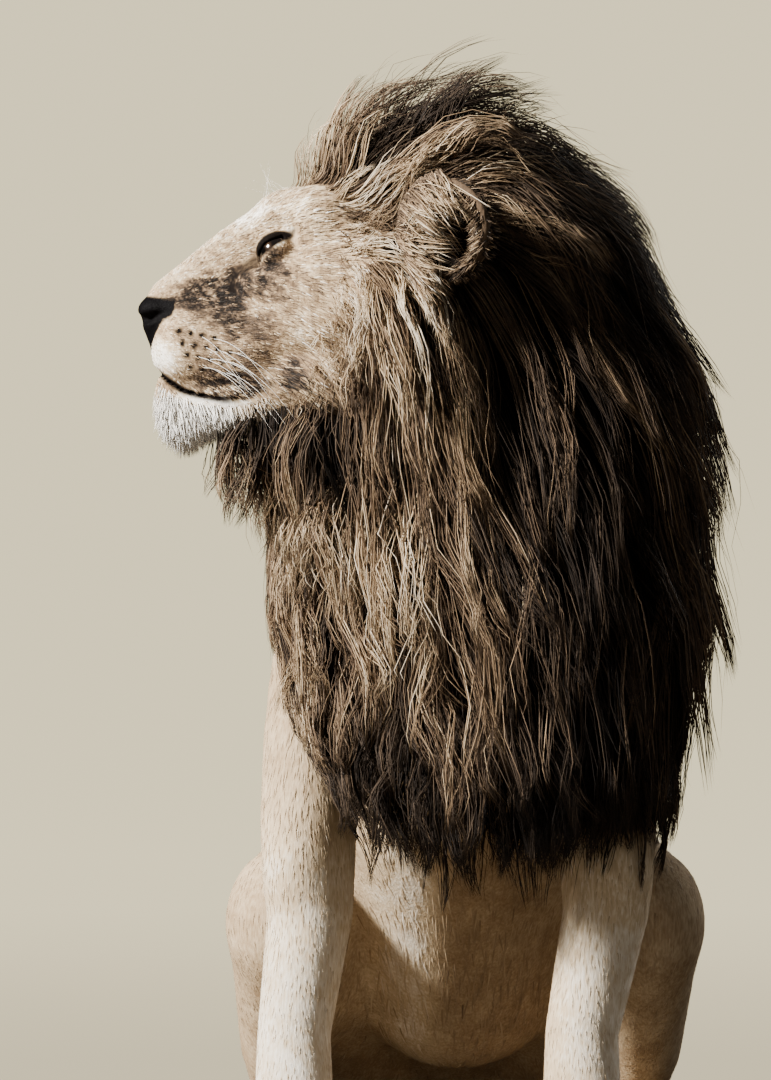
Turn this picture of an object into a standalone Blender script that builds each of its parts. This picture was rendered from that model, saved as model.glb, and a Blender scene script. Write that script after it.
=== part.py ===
"""A male lion sitting upright with its head turned to its right, as a still, life-size museum model.

Every length is in metres. The lion faces -Y, its own left side is +X, and +Z is up. Joints and
muscles are given in the stance frame, whose origin lies on the floor between the forelegs. The
whole stance is then moved back and set down, so that the finished solids stand around the
world's origin.

Each muscle is the convex hull of a few ellipsoids. A voxel remesh joins the muscles of the trunk
and mane, of the head, of each leg and of the tail. Each of these takes its own room out of its
neighbours, and thin blades then part it into named pieces. The solids reach out to the tips of
the coat, so the mane is a solid of its own around the neck.
"""

import math

import bmesh
import bpy
from mathutils import Euler, Matrix, Vector

# ---- driving dimensions -------------------------------------------------------------------------

FLOOR = 0.004  # level in the stance frame at which soles, rump and tail are pressed flat
STANCE_SHIFT = Vector((0.0, -0.359, -FLOOR))  # carries the stance frame to the world frame
GAP = 0.0005  # clearance between two pieces that touch
SMOOTHING = 5  # passes that round the creases between muscles
BODY_GRID, HEAD_GRID = 0.008, 0.006  # voxels of the remesh that joins the muscles
TRIANGLES = {"body": 1400, "head": 900, "foreleg": 300, "hindleg": 300, "tail": 230}

HEAD_ORIGIN = Vector((-0.015, -0.075, 0.961))  # midway between the ear canals
HEAD_YAW = math.radians(-93.0)  # turn to the lion's right from straight ahead
EYE_RADIUS = 0.0185
EYE_PLACE = Vector((0.165, 0.0535, 0.0125))  # in the head frame, mirrored for the other eye
EAR_PLACE = Vector((-0.012, 0.126, 0.033))  # in the head frame, mirrored for the other ear
EAR_TURN = math.radians(-24.0)  # the cup looks outwards and a little ahead

# The forelegs lean a little to the lion's right, so the two sides have their own measures.
FORELEG_X = {
    "right": {"paw": -0.170, "wrist": -0.166, "forearm": -0.150, "elbow": -0.138},
    "left": {"paw": 0.110, "wrist": 0.122, "forearm": 0.146, "elbow": 0.148},
}
HIND_X = {"hip": 0.121, "thigh": 0.145, "knee": 0.180, "hock": 0.170, "paw": 0.190}
KNEE_OUT = {"right": 0.0, "left": 0.014}  # how much further out thigh and knee lean
SIDE_SIGN = {"right": -1.0, "left": 1.0}
TOE_SPREAD = 1.2  # distance between two toes, in toe radii

WRIST_HEIGHT, ELBOW_HEIGHT = 0.112, 0.470
COLLAR_HEIGHT, POLL_HEIGHT = 0.700, 0.950
GIRTH = [(0.400, 1.000), (0.335, 0.800), (0.225, 0.500), (0.130, 0.385), (0.080, 0.250)]  # as (y, z)
GIRTH_AT_COLLAR = 0.2983
WAIST = [(0.740, 0.660), (0.210, 0.200)]
LIPS = [(0.330, -0.095), (0.266, -0.127), (0.210, -0.134), (0.150, -0.110), (0.156, -0.175), (0.150, -0.300)]
BLADE_REACH = 0.5  # half width of a blade that runs through the whole body

FUR = (0.60, 0.50, 0.37, 1.0)
PALE_FUR = (0.72, 0.68, 0.60, 1.0)
MANE = (0.17, 0.12, 0.085, 1.0)
DARK_MANE = (0.055, 0.040, 0.030, 1.0)
NOSE = (0.012, 0.011, 0.011, 1.0)
EYE = (0.30, 0.17, 0.05, 1.0)


# ---- frames -------------------------------------------------------------------------------------


def head_frame():
    """Matrix from the head frame (x ahead, y to the lion's left, z up) to the stance frame."""
    ahead_turn = HEAD_YAW - math.pi / 2  # from +X ahead to the yaw measured from -Y
    return Matrix.Translation(HEAD_ORIGIN) @ Matrix.Rotation(ahead_turn, 4, "Z")


# ---- shape makers -------------------------------------------------------------------------------


def ball(centre, radii, turn=(0.0, 0.0, 0.0), frame=None):
    """An ellipsoid as the matrix that makes it from a unit sphere. A single radius gives a sphere."""
    if isinstance(radii, (int, float)):
        radii = (radii, radii, radii)
    place = Matrix.Translation(Vector(centre))
    made = place @ Euler(turn).to_matrix().to_4x4() @ Matrix.Diagonal((*radii, 1.0))
    return frame @ made if frame else made


def sphere_points(detail):
    """The corners of a unit icosphere."""
    mesh = bmesh.new()
    bmesh.ops.create_icosphere(mesh, subdivisions=detail, radius=1.0)
    points = [point.co.copy() for point in mesh.verts]
    mesh.free()
    return points


def add_muscle(mesh, balls, detail=3):
    """Adds the convex hull of some ellipsoids to a bmesh, as one closed shell."""
    corners = sphere_points(detail)
    points = [mesh.verts.new(matrix @ corner) for matrix in balls for corner in corners]
    hull = bmesh.ops.convex_hull(mesh, input=points)
    inner = hull["geom_interior"] + hull["geom_unused"]
    spare = {item for item in inner if isinstance(item, bmesh.types.BMVert)}
    bmesh.ops.delete(mesh, geom=list(spare), context="VERTS")


def add_chain(mesh, balls):
    """Adds a limb: a hull over each pair of neighbouring ellipsoids."""
    for first, second in zip(balls, balls[1:]):
        add_muscle(mesh, [first, second])


def object_of(name, mesh, helper=False):
    """A linked object from a bmesh. A helper stays out of the finished model."""
    data = bpy.data.meshes.new(name)
    bmesh.ops.recalc_face_normals(mesh, faces=mesh.faces[:])
    mesh.to_mesh(data)
    mesh.free()
    made = bpy.data.objects.new(name, data)
    bpy.context.scene.collection.objects.link(made)
    if helper:
        hide(made)
    return made


def hide(helper):
    """Leaves a cutter or a guide out of the finished model."""
    helper.hide_render = True
    helper.display_type = "WIRE"


def solid(name, balls, detail=3, helper=False):
    """One object that is the convex hull of some ellipsoids."""
    mesh = bmesh.new()
    add_muscle(mesh, balls, detail)
    return object_of(name, mesh, helper)


def blade(name, path, across, half_width, thickness=GAP):
    """A thin helper wall: a path of points swept to both sides along a direction."""
    across = Vector(across).normalized() * half_width
    path = [Vector(point) for point in path]
    mesh = bmesh.new()
    rims = []
    for index, point in enumerate(path):
        before = path[max(index - 1, 0)]
        after = path[min(index + 1, len(path) - 1)]
        normal = (after - before).cross(across).normalized() * thickness / 2
        corners = ((-1, -1), (1, -1), (1, 1), (-1, 1))
        rims.append([mesh.verts.new(point + side * across + face * normal) for side, face in corners])
    for first, second in zip(rims, rims[1:]):
        for corner in range(4):
            following = (corner + 1) % 4
            mesh.faces.new((first[corner], first[following], second[following], second[corner]))
    mesh.faces.new(rims[0])
    mesh.faces.new(reversed(rims[-1]))
    return object_of(name, mesh, helper=True)


def limb_blade(name, centre, normal, half_width):
    """A short wall square to a limb."""
    normal = Vector(normal).normalized()
    across = normal.orthogonal().normalized()
    along = normal.cross(across) * half_width
    centre = Vector(centre)
    return blade(name, [centre - along, centre + along], across, half_width)


def cut_with(target, cutter):
    """Takes a cutter's volume from an object."""
    modifier = target.modifiers.new(cutter.name, "BOOLEAN")
    modifier.operation = "DIFFERENCE"
    modifier.solver = "EXACT"
    modifier.object = cutter


def applied(target):
    """Makes an object's evaluated mesh its own and drops its modifiers."""
    bpy.context.view_layer.update()
    graph = bpy.context.evaluated_depsgraph_get()
    data = bpy.data.meshes.new_from_object(target.evaluated_get(graph), depsgraph=graph)
    target.modifiers.clear()
    target.data = data
    return target


def joined_flesh(name, mesh, grid, triangles):
    """One closed, rounded body from a bmesh of overlapping muscles."""
    body = object_of(name, mesh)
    remesh = body.modifiers.new("join", "REMESH")
    remesh.mode = "VOXEL"
    remesh.voxel_size = grid
    smooth = body.modifiers.new("round", "SMOOTH")
    smooth.factor = 0.5
    smooth.iterations = SMOOTHING
    applied(body)
    thin = body.modifiers.new("thin", "DECIMATE")
    thin.ratio = triangles / sum(len(face.vertices) - 2 for face in body.data.polygons)
    thin.use_collapse_triangulate = True
    return applied(body)


def grown(target):
    """A helper copy of an object, larger by the gap on every side."""
    copy = bpy.data.objects.new(target.name + "_room", target.data.copy())
    bpy.context.scene.collection.objects.link(copy)
    swell = copy.modifiers.new("swell", "DISPLACE")
    swell.strength = GAP
    swell.mid_level = 0.0
    hide(applied(copy))
    return copy


def shells_of(mesh):
    """The vertex sets of a bmesh's separate closed shells."""
    waiting = set(mesh.verts)
    shells = []
    while waiting:
        shell = {waiting.pop()}
        frontier = list(shell)
        while frontier:
            point = frontier.pop()
            fresh = {edge.other_vert(point) for edge in point.link_edges} - shell
            shell |= fresh
            frontier.extend(fresh)
        waiting -= shell
        shells.append(shell)
    return shells


def bmesh_of_shell(shell):
    """A bmesh of its own for one shell."""
    mesh = bmesh.new()
    points = sorted(shell, key=lambda point: point.index)
    copies = {point: mesh.verts.new(point.co) for point in points}
    faces = {face for point in points for face in point.link_faces}
    for face in sorted(faces, key=lambda face: face.index):
        mesh.faces.new([copies[point] for point in face.verts])
    return mesh


def middle_of(mesh):
    """The middle of a bmesh's surface."""
    area = sum(face.calc_area() for face in mesh.faces)
    total = sum((face.calc_center_median() * face.calc_area() for face in mesh.faces), Vector())
    return total / area


def split(target, names):
    """Replaces a cut object by its shells. names maps a piece's name to a point near its middle."""
    source = bmesh.new()
    source.from_mesh(target.data)
    parts = [bmesh_of_shell(shell) for shell in shells_of(source)]
    source.free()
    bpy.data.objects.remove(target)
    for name, near in names.items():
        nearest = min(parts, key=lambda mesh: (middle_of(mesh) - Vector(near)).length)
        parts.remove(nearest)
        object_of(name, nearest)
    for mesh in parts:
        mesh.free()


def press_flat(target):
    """Takes off whatever reaches below the floor."""
    mesh = bmesh.new()
    place = Matrix.Translation((0.0, 0.3, FLOOR - 0.1)) @ Matrix.Diagonal((1.2, 1.8, 0.2, 1.0))
    bmesh.ops.create_cube(mesh, size=1.0, matrix=place)
    cut_with(target, object_of(target.name + "_floor", mesh, helper=True))
    applied(target)


# ---- the flesh, with its coat -------------------------------------------------------------------


def add_trunk(mesh):
    """Chest, belly and rump along a back that slopes from the withers to the floor."""
    chest = ball((0.0, 0.050, 0.640), (0.160, 0.150, 0.190), (0.35, 0, 0))
    ribs = ball((0.0, 0.165, 0.660), (0.195, 0.180, 0.230), (0.60, 0, 0))
    flank = ball((0.0, 0.320, 0.510), (0.196, 0.200, 0.230), (0.80, 0, 0))
    loin = ball((0.0, 0.465, 0.390), (0.172, 0.185, 0.195), (0.80, 0, 0))
    hips = ball((0.0, 0.585, 0.265), (0.165, 0.165, 0.190), (0.55, 0, 0))
    seat = ball((0.0, 0.640, 0.150), (0.140, 0.120, 0.154))
    withers = ball((0.0, 0.225, 0.835), (0.110, 0.085, 0.080))
    back = ball((0.0, 0.430, 0.655), (0.095, 0.080, 0.075))
    croup = ball((0.0, 0.625, 0.420), (0.090, 0.070, 0.070))
    tail_head = ball((0.0, 0.710, 0.220), (0.070, 0.060, 0.080))
    belly = ball((0.0, 0.260, 0.410), (0.140, 0.135, 0.130))
    groin = ball((0.0, 0.420, 0.235), (0.125, 0.140, 0.120))
    groups = [
        [chest, ribs],
        [ribs, flank, withers, back],
        [flank, loin, back],
        [loin, hips, back, croup],
        [hips, seat, croup, tail_head],
        [ribs, flank, belly],
        [flank, loin, belly, groin],
        [groin, hips, seat],
    ]
    for group in groups:
        add_muscle(mesh, group)


def add_foreleg(mesh, side):
    """Shoulder, forearm and paw of one foreleg, with its four toes."""
    x = FORELEG_X[side]
    sign = SIDE_SIGN[side]
    bones = [
        ball((sign * 0.116, 0.060, 0.660), (0.062, 0.080, 0.080)),
        ball((x["elbow"], 0.066, 0.520), (0.062, 0.076, 0.080)),
        ball((x["forearm"], 0.030, 0.400), (0.056, 0.060, 0.066)),
        ball((x["forearm"], 0.016, 0.310), (0.050, 0.052, 0.055)),
        ball((x["wrist"], -0.004, 0.190), (0.043, 0.042, 0.042)),
        ball((x["wrist"], -0.016, 0.120), (0.046, 0.041, 0.040)),
        ball((x["paw"], -0.035, 0.050), (0.054, 0.050, 0.056)),
    ]
    add_chain(mesh, bones)
    add_toes(mesh, x["paw"], -0.100, 0.0250)


def add_hindleg(mesh, side):
    """Folded thigh, shank and long foot of one hind leg."""
    sign = SIDE_SIGN[side]
    x = {name: sign * value for name, value in HIND_X.items()}
    lean = sign * KNEE_OUT[side]
    thigh = [
        ball((x["hip"], 0.580, 0.235), (0.112, 0.150, 0.170)),
        ball((x["thigh"] + lean, 0.410, 0.270), (0.085, 0.135, 0.125)),
        ball((x["knee"] + lean, 0.255, 0.292), (0.064, 0.072, 0.077)),
    ]
    shank = [
        ball((x["knee"] + lean, 0.245, 0.275), (0.061, 0.064, 0.072)),
        ball((x["knee"] + lean / 2, 0.370, 0.165), (0.054, 0.080, 0.075)),
        ball((x["hock"], 0.510, 0.066), (0.040, 0.052, 0.062)),
    ]
    foot = [
        ball((x["hock"], 0.515, 0.050), (0.038, 0.048, 0.048)),
        ball((x["knee"], 0.330, 0.044), (0.043, 0.060, 0.044)),
        ball((x["paw"], 0.205, 0.046), (0.050, 0.050, 0.045)),
    ]
    for muscles in (thigh, shank, foot):
        add_chain(mesh, muscles)
    buttock = ball((x["hip"], 0.600, 0.115), (0.098, 0.118, 0.119))
    add_muscle(mesh, [thigh[0], buttock])
    add_toes(mesh, x["paw"], 0.150, 0.0235)


def add_toes(mesh, middle, front, radius):
    """Four toes side by side, the middle two the longer."""
    for step in (-1.5, -0.5, 0.5, 1.5):
        x = middle + step * radius * TOE_SPREAD
        tip = front + abs(step) * 0.012
        toe = ball((x, tip, radius), (radius * 0.95, radius * 1.2, radius * 1.05))
        knuckle = ball((x, tip + 0.040, radius * 1.95), (radius, radius, radius * 1.1))
        add_muscle(mesh, [toe, knuckle], detail=2)


def tail_route(steps):
    """Points from the tail's root down to the floor and round the rump to the lion's left."""
    points = [Vector((0.0, 0.720, 0.165)), Vector((0.004, 0.775, 0.118)), Vector((0.014, 0.825, 0.066))]
    centre = Vector((0.150, 0.780, 0.0))
    reach = 0.150
    start, end = math.radians(142), math.radians(-12)
    for step in range(steps):
        done = step / (steps - 1)
        angle = start + (end - start) * done
        height = 0.030 - 0.006 * done
        points.append(centre + Vector((math.cos(angle) * reach, math.sin(angle) * reach, height)))
    points.append(Vector((0.300, 0.650, 0.023)))
    points.append(Vector((0.292, 0.560, 0.023)))
    return points


def add_tail(mesh):
    """The tail with its tuft."""
    route = tail_route(9)
    thick, thin = 0.038, 0.022
    balls = []
    for index, point in enumerate(route):
        radius = thick + (thin - thick) * index / (len(route) - 1)
        balls.append(ball(point, (radius, radius, min(radius, point.z))))
    add_chain(mesh, balls)
    tip = route[-1]
    swell = ball(tip + Vector((-0.003, -0.060, 0.010)), (0.034, 0.045, 0.034))
    point = ball(tip + Vector((-0.010, -0.145, -0.003)), (0.015, 0.020, 0.019))
    add_chain(mesh, [balls[-1], swell, point])


def add_head(mesh, frame):
    """Skull, brows, muzzle, jaw and cheeks, in the head frame."""
    skull = ball((0.010, 0.0, 0.005), (0.090, 0.100, 0.092), frame=frame)
    forehead = ball((0.115, 0.0, 0.028), (0.066, 0.080, 0.063), frame=frame)
    brow = ball((0.150, 0.0, 0.034), (0.046, 0.066, 0.046), frame=frame)
    bridge = ball((0.192, 0.0, 0.010), (0.044, 0.046, 0.045), frame=frame)
    snout = ball((0.268, 0.0, -0.044), (0.032, 0.036, 0.035), frame=frame)
    neck = ball((0.060, 0.0, -0.060), (0.070, 0.104, 0.080), frame=frame)
    face = ball((0.165, 0.0, -0.055), (0.060, 0.068, 0.064), frame=frame)
    muzzle = ball((0.243, 0.0, -0.083), (0.046, 0.050, 0.045), frame=frame)
    throat = ball((0.060, 0.0, -0.115), (0.060, 0.090, 0.070), frame=frame)
    jaw = ball((0.180, 0.0, -0.137), (0.044, 0.056, 0.042), frame=frame)
    chin = ball((0.257, 0.0, -0.150), (0.034, 0.038, 0.034), frame=frame)
    beard = ball((0.252, 0.0, -0.172), (0.026, 0.028, 0.022), frame=frame)
    groups = [
        [skull, forehead, neck],
        [forehead, brow, face, neck],
        [brow, bridge, face],
        [bridge, snout, muzzle, face],
        [neck, throat, face],
        [throat, jaw],
        [jaw, chin],
        [chin, beard],
        [face, jaw],
    ]
    for group in groups:
        add_muscle(mesh, group)
    for sign in (-1.0, 1.0):
        cheek = ball((0.062, sign * 0.078, -0.030), (0.074, 0.050, 0.070), frame=frame)
        cheekbone = ball((0.142, sign * 0.056, -0.030), (0.044, 0.032, 0.040), frame=frame)
        pad = ball((0.240, sign * 0.036, -0.090), (0.044, 0.035, 0.040), frame=frame)
        lip = ball((0.182, sign * 0.044, -0.100), (0.048, 0.032, 0.036), frame=frame)
        add_muscle(mesh, [cheek, cheekbone])
        add_muscle(mesh, [cheekbone, lip])
        add_muscle(mesh, [pad, lip])


def add_mane(mesh):
    """The mane as a volume: crown, nape, neck, throat, shoulders and the long hair of the chest."""
    crown = ball((-0.035, -0.073, 1.035), (0.116, 0.112, 0.106))
    crest = ball((0.022, -0.062, 1.066), (0.082, 0.098, 0.094))
    nape = ball((0.078, -0.010, 0.965), (0.108, 0.160, 0.105))
    ruff = ball((0.090, 0.010, 0.850), (0.160, 0.200, 0.120))
    neck = ball((0.080, 0.005, 0.760), (0.188, 0.220, 0.130))
    shoulders = ball((0.045, -0.005, 0.640), (0.228, 0.232, 0.150))
    breast = ball((0.026, -0.055, 0.485), (0.208, 0.172, 0.134))
    cheeks = ball((-0.050, -0.078, 0.900), (0.086, 0.160, 0.110))
    jowls = ball((-0.085, -0.080, 0.830), (0.095, 0.160, 0.090))
    throat = ball((-0.152, -0.085, 0.766), (0.096, 0.112, 0.075))
    withers = ball((0.020, 0.215, 0.810), (0.155, 0.115, 0.115))
    elbows = ball((0.158, 0.010, 0.445), (0.070, 0.090, 0.090))
    forelock = ball((-0.128, -0.074, 1.049), (0.052, 0.066, 0.047))
    right_neck = ball((-0.075, 0.100, 0.800), (0.110, 0.140, 0.125))
    right_shoulder = ball((-0.095, 0.075, 0.665), (0.098, 0.150, 0.135))
    groups = [
        [crown, crest, nape, cheeks],
        [cheeks, nape, ruff, jowls, neck, throat],
        [throat, jowls, neck, shoulders],
        [nape, ruff, withers],
        [neck, shoulders, withers],
        [shoulders, breast],
        [shoulders, elbows],
        [crown, forelock],
        [neck, withers, right_neck],
        [jowls, right_neck],
        [right_neck, right_shoulder],
        [right_shoulder, shoulders],
    ]
    for group in groups:
        add_muscle(mesh, group)


# ---- pieces that are made on their own ----------------------------------------------------------


def make_nose(frame):
    """The nose pad, wide at the nostrils and narrow at the lip."""
    balls = [
        ball((0.291, 0.0, -0.046), (0.016, 0.034, 0.013), frame=frame),
        ball((0.290, 0.0, -0.062), (0.015, 0.026, 0.014), frame=frame),
        ball((0.283, 0.0, -0.088), (0.012, 0.009, 0.008), frame=frame),
    ]
    return solid("nose", balls, detail=2)


def make_eye(side, frame):
    """One eyeball."""
    place = (EYE_PLACE.x, SIDE_SIGN[side] * EYE_PLACE.y, EYE_PLACE.z)
    return solid(f"eye_{side}", [ball(place, EYE_RADIUS, frame=frame)], detail=2)


def make_ear(side, frame):
    """A cupped ear, hollow on the side that faces out, and the whole ear as a helper."""
    sign = SIDE_SIGN[side]
    place = Vector((EAR_PLACE.x, sign * EAR_PLACE.y, EAR_PLACE.z))
    mirror = Matrix.Diagonal((1.0, sign, 1.0, 1.0))
    local = frame @ Matrix.Translation(place) @ mirror @ Matrix.Rotation(EAR_TURN, 4, "Z")
    back = ball((0.0, -0.004, -0.002), (0.045, 0.030, 0.049), frame=local)
    rim = ball((0.0, 0.014, 0.0), (0.050, 0.010, 0.053), frame=local)
    bowl = ball((0.003, 0.026, -0.004), (0.041, 0.040, 0.044), frame=local)
    ear = solid(f"ear_{side}", [back, rim], detail=2)
    room = grown(ear)
    cut_with(ear, solid(f"ear_{side}_bowl", [bowl], detail=2, helper=True))
    return applied(ear), room


# ---- parting ------------------------------------------------------------------------------------


def part_head(head, frame):
    """Frees the lower jaw."""
    sideways = frame.to_3x3() @ Vector((0, 1, 0))
    cut_with(head, blade("lips", [frame @ Vector((x, 0, z)) for x, z in LIPS], sideways, 0.200))
    names = {"head": frame @ Vector((0.08, 0.0, -0.01)), "lower_jaw": frame @ Vector((0.2, 0.0, -0.15))}
    split(applied(head), names)


def part_body(body):
    """Parts the mane into crown, neck and chest, and the body into trunk and rump."""
    reach = BLADE_REACH
    collar = [(-reach, GIRTH_AT_COLLAR - reach, COLLAR_HEIGHT), (reach, GIRTH_AT_COLLAR - reach, COLLAR_HEIGHT)]
    cut_with(body, blade("poll", [(-reach, 0, POLL_HEIGHT), (reach, 0, POLL_HEIGHT)], (0, 1, 0), reach))
    cut_with(body, blade("collar", collar, (0, 1, 0), reach))
    cut_with(body, blade("girth", [(0, y, z) for y, z in GIRTH], (1, 0, 0), reach))
    cut_with(body, blade("waist", [(0, y, z) for y, z in WAIST], (1, 0, 0), reach))
    names = {
        "mane_crown": (0.0, -0.05, 1.05),
        "mane_neck": (0.03, 0.0, 0.82),
        "mane_chest": (0.03, 0.0, 0.53),
        "trunk": (0.0, 0.33, 0.52),
        "rump": (0.0, 0.60, 0.25),
    }
    split(applied(body), names)


def part_foreleg(leg, side):
    """Parts a foreleg at the elbow and the wrist."""
    x = FORELEG_X[side]
    cut_with(leg, limb_blade(f"elbow_{side}", (x["elbow"], 0.06, ELBOW_HEIGHT), (0, 0, 1), 0.15))
    cut_with(leg, limb_blade(f"wrist_{side}", (x["wrist"], 0.0, WRIST_HEIGHT), (0, -0.2, 1), 0.15))
    names = {
        f"upper_arm_{side}": (x["elbow"], 0.06, 0.60),
        f"forearm_{side}": (x["forearm"], 0.02, 0.29),
        f"forepaw_{side}": (x["paw"], -0.05, 0.05),
    }
    split(applied(leg), names)


def part_hindleg(leg, side):
    """Parts a hind leg below the knee and above the foot."""
    knee_line = [(0.100, 0.245), (0.260, 0.215), (0.420, 0.190), (0.480, 0.080), (0.490, -0.050)]
    hock_line = [(0.050, 0.145), (0.230, 0.100), (0.400, 0.088), (0.4795, 0.081)]
    cut_with(leg, blade(f"knee_{side}", [(0, y, z) for y, z in knee_line], (1, 0, 0), 0.35))
    cut_with(leg, blade(f"hock_{side}", [(0, y, z) for y, z in hock_line], (1, 0, 0), 0.35))
    sign = SIDE_SIGN[side]
    names = {
        f"thigh_{side}": (sign * 0.15, 0.45, 0.25),
        f"shank_{side}": (sign * 0.18, 0.33, 0.16),
        f"hindfoot_{side}": (sign * 0.18, 0.25, 0.05),
    }
    split(applied(leg), names)


def part_tail(tail):
    """Parts the tail into three lengths and the tuft."""
    cut_with(tail, limb_blade("tail_upper_cut", (0.020, 0.845, 0.048), (0.2, 0.70, -0.7), 0.060))
    cut_with(tail, limb_blade("tail_lower_cut", (0.230, 0.905, 0.03), (0.85, -0.5, 0.0), 0.060))
    cut_with(tail, limb_blade("tail_tuft_cut", (0.292, 0.556, 0.03), (0, 1, 0), 0.060))
    names = {
        "tail_root": (0.01, 0.79, 0.10),
        "tail_middle": (0.12, 0.91, 0.03),
        "tail_end": (0.30, 0.72, 0.03),
        "tail_tuft": (0.29, 0.49, 0.03),
    }
    split(applied(tail), names)


# ---- finish -------------------------------------------------------------------------------------


def finish_of(name):
    """Colour and roughness of a piece by its name."""
    if name.startswith("eye"):
        return EYE, 0.08
    if name == "nose":
        return NOSE, 0.42
    if name == "lower_jaw":
        return PALE_FUR, 0.90
    if name in ("mane_chest", "tail_tuft"):
        return DARK_MANE, 0.85
    if name.startswith("mane"):
        return MANE, 0.85
    return FUR, 0.90


def dress(piece):
    """Gives a piece its own material, smooth shading and crisp cut edges."""
    colour, roughness = finish_of(piece.name)
    material = bpy.data.materials.new(piece.name)
    material.use_nodes = True
    shader = material.node_tree.nodes["Principled BSDF"]
    shader.inputs["Base Color"].default_value = colour
    shader.inputs["Roughness"].default_value = roughness
    shader.inputs["Metallic"].default_value = 0.0
    piece.data.materials.clear()
    piece.data.materials.append(material)
    piece.data.shade_smooth()
    piece.data.set_sharp_from_angle(angle=math.radians(50))


def main():
    """Builds the lion."""
    for item in list(bpy.data.objects):
        bpy.data.objects.remove(item)
    frame = head_frame()

    mesh = bmesh.new()
    add_trunk(mesh)
    add_mane(mesh)
    body = joined_flesh("body", mesh, BODY_GRID, TRIANGLES["body"])
    mesh = bmesh.new()
    add_head(mesh, frame)
    head = joined_flesh("skull", mesh, HEAD_GRID, TRIANGLES["head"])
    mesh = bmesh.new()
    add_tail(mesh)
    tail = joined_flesh("tail", mesh, HEAD_GRID, TRIANGLES["tail"])
    legs = {}
    for side in SIDE_SIGN:
        for kind, add_leg in (("foreleg", add_foreleg), ("hindleg", add_hindleg)):
            mesh = bmesh.new()
            add_leg(mesh, side)
            legs[kind, side] = joined_flesh(f"{kind}_{side}", mesh, BODY_GRID, TRIANGLES[kind])

    for leg in legs.values():
        cut_with(body, grown(leg))
    cut_with(body, grown(head))
    cut_with(tail, grown(body))
    for side in SIDE_SIGN:
        ear, ear_room = make_ear(side, frame)
        cut_with(body, ear_room)
        cut_with(head, ear_room)
        cut_with(head, grown(make_eye(side, frame)))
    cut_with(head, grown(make_nose(frame)))
    for piece in (body, head, tail, *legs.values()):
        press_flat(piece)

    part_head(head, frame)
    part_body(body)
    part_tail(tail)
    for side in SIDE_SIGN:
        part_foreleg(legs["foreleg", side], side)
        part_hindleg(legs["hindleg", side], side)

    stance = bpy.data.objects.new("stance", None)
    stance.location = STANCE_SHIFT
    bpy.context.scene.collection.objects.link(stance)
    for piece in list(bpy.data.objects):
        if piece.type == "MESH" and not piece.hide_render:
            piece.parent = stance
            dress(piece)


main()
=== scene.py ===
"""The look of a life-size sitting lion: one skin, a short coat, a long dark mane, eyes and claws.

The flesh is a distance field, negative inside: muscles between pairs of balls, smoothly joined.
The skin is the net of that field. Hair grows on the skin in closed, tapering, three-sided hairs.
Lengths are metres. Sizes are given in the stance frame, in which the lion faces -Y, its own left
is +X and the floor is at z = FLOOR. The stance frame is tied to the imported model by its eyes.
"""

import logging
import math
from collections.abc import Callable
from dataclasses import dataclass, field
from enum import Enum

import bpy
import numpy as np
from bpy.types import Material, Node, NodeSocket, Object, ShaderNodeTree
from mathutils import Matrix, Vector
from mathutils.kdtree import KDTree
from numpy import ndarray as Array
from numpy.random import Generator


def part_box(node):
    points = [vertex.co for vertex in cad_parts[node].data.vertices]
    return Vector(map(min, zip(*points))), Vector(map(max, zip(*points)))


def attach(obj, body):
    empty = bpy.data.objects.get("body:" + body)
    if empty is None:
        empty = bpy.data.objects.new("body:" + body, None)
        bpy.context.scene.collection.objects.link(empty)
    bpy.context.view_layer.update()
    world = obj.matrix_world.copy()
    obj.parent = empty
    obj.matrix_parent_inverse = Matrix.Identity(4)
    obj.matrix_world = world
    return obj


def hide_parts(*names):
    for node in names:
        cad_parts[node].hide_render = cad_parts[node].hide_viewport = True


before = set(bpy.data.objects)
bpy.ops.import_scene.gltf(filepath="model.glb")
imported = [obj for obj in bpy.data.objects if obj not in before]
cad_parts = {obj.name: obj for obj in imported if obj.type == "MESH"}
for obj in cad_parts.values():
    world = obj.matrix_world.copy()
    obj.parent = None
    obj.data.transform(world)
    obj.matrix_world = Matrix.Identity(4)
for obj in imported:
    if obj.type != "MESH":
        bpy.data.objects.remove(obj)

LOG = logging.getLogger("lion")
FLOOR = 0.004
FAR = 1.0
TINY = 1e-9
PATCH = 0.003
MANE_SEED, COAT_SEED, TRIMMINGS_SEED = 7, 11, 23


class Side(Enum):
    """A side of the lion, with the sign of its x."""

    RIGHT = -1.0
    LEFT = 1.0

    @property
    def word(self) -> str:
        """The side's name in small letters."""
        return self.name.lower()


def middle(node: str) -> Array:
    """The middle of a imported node's box."""
    low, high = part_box(node)
    return np.array((low + high) / 2)


# ---- distance fields ----------------------------------------------------------------------------


@dataclass(frozen=True)
class Ball:
    """An ellipsoid square to its frame.

    Args:
        centre: its middle.
        radii: its half lengths along x, y and z.
    """

    centre: tuple
    radii: tuple


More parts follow.
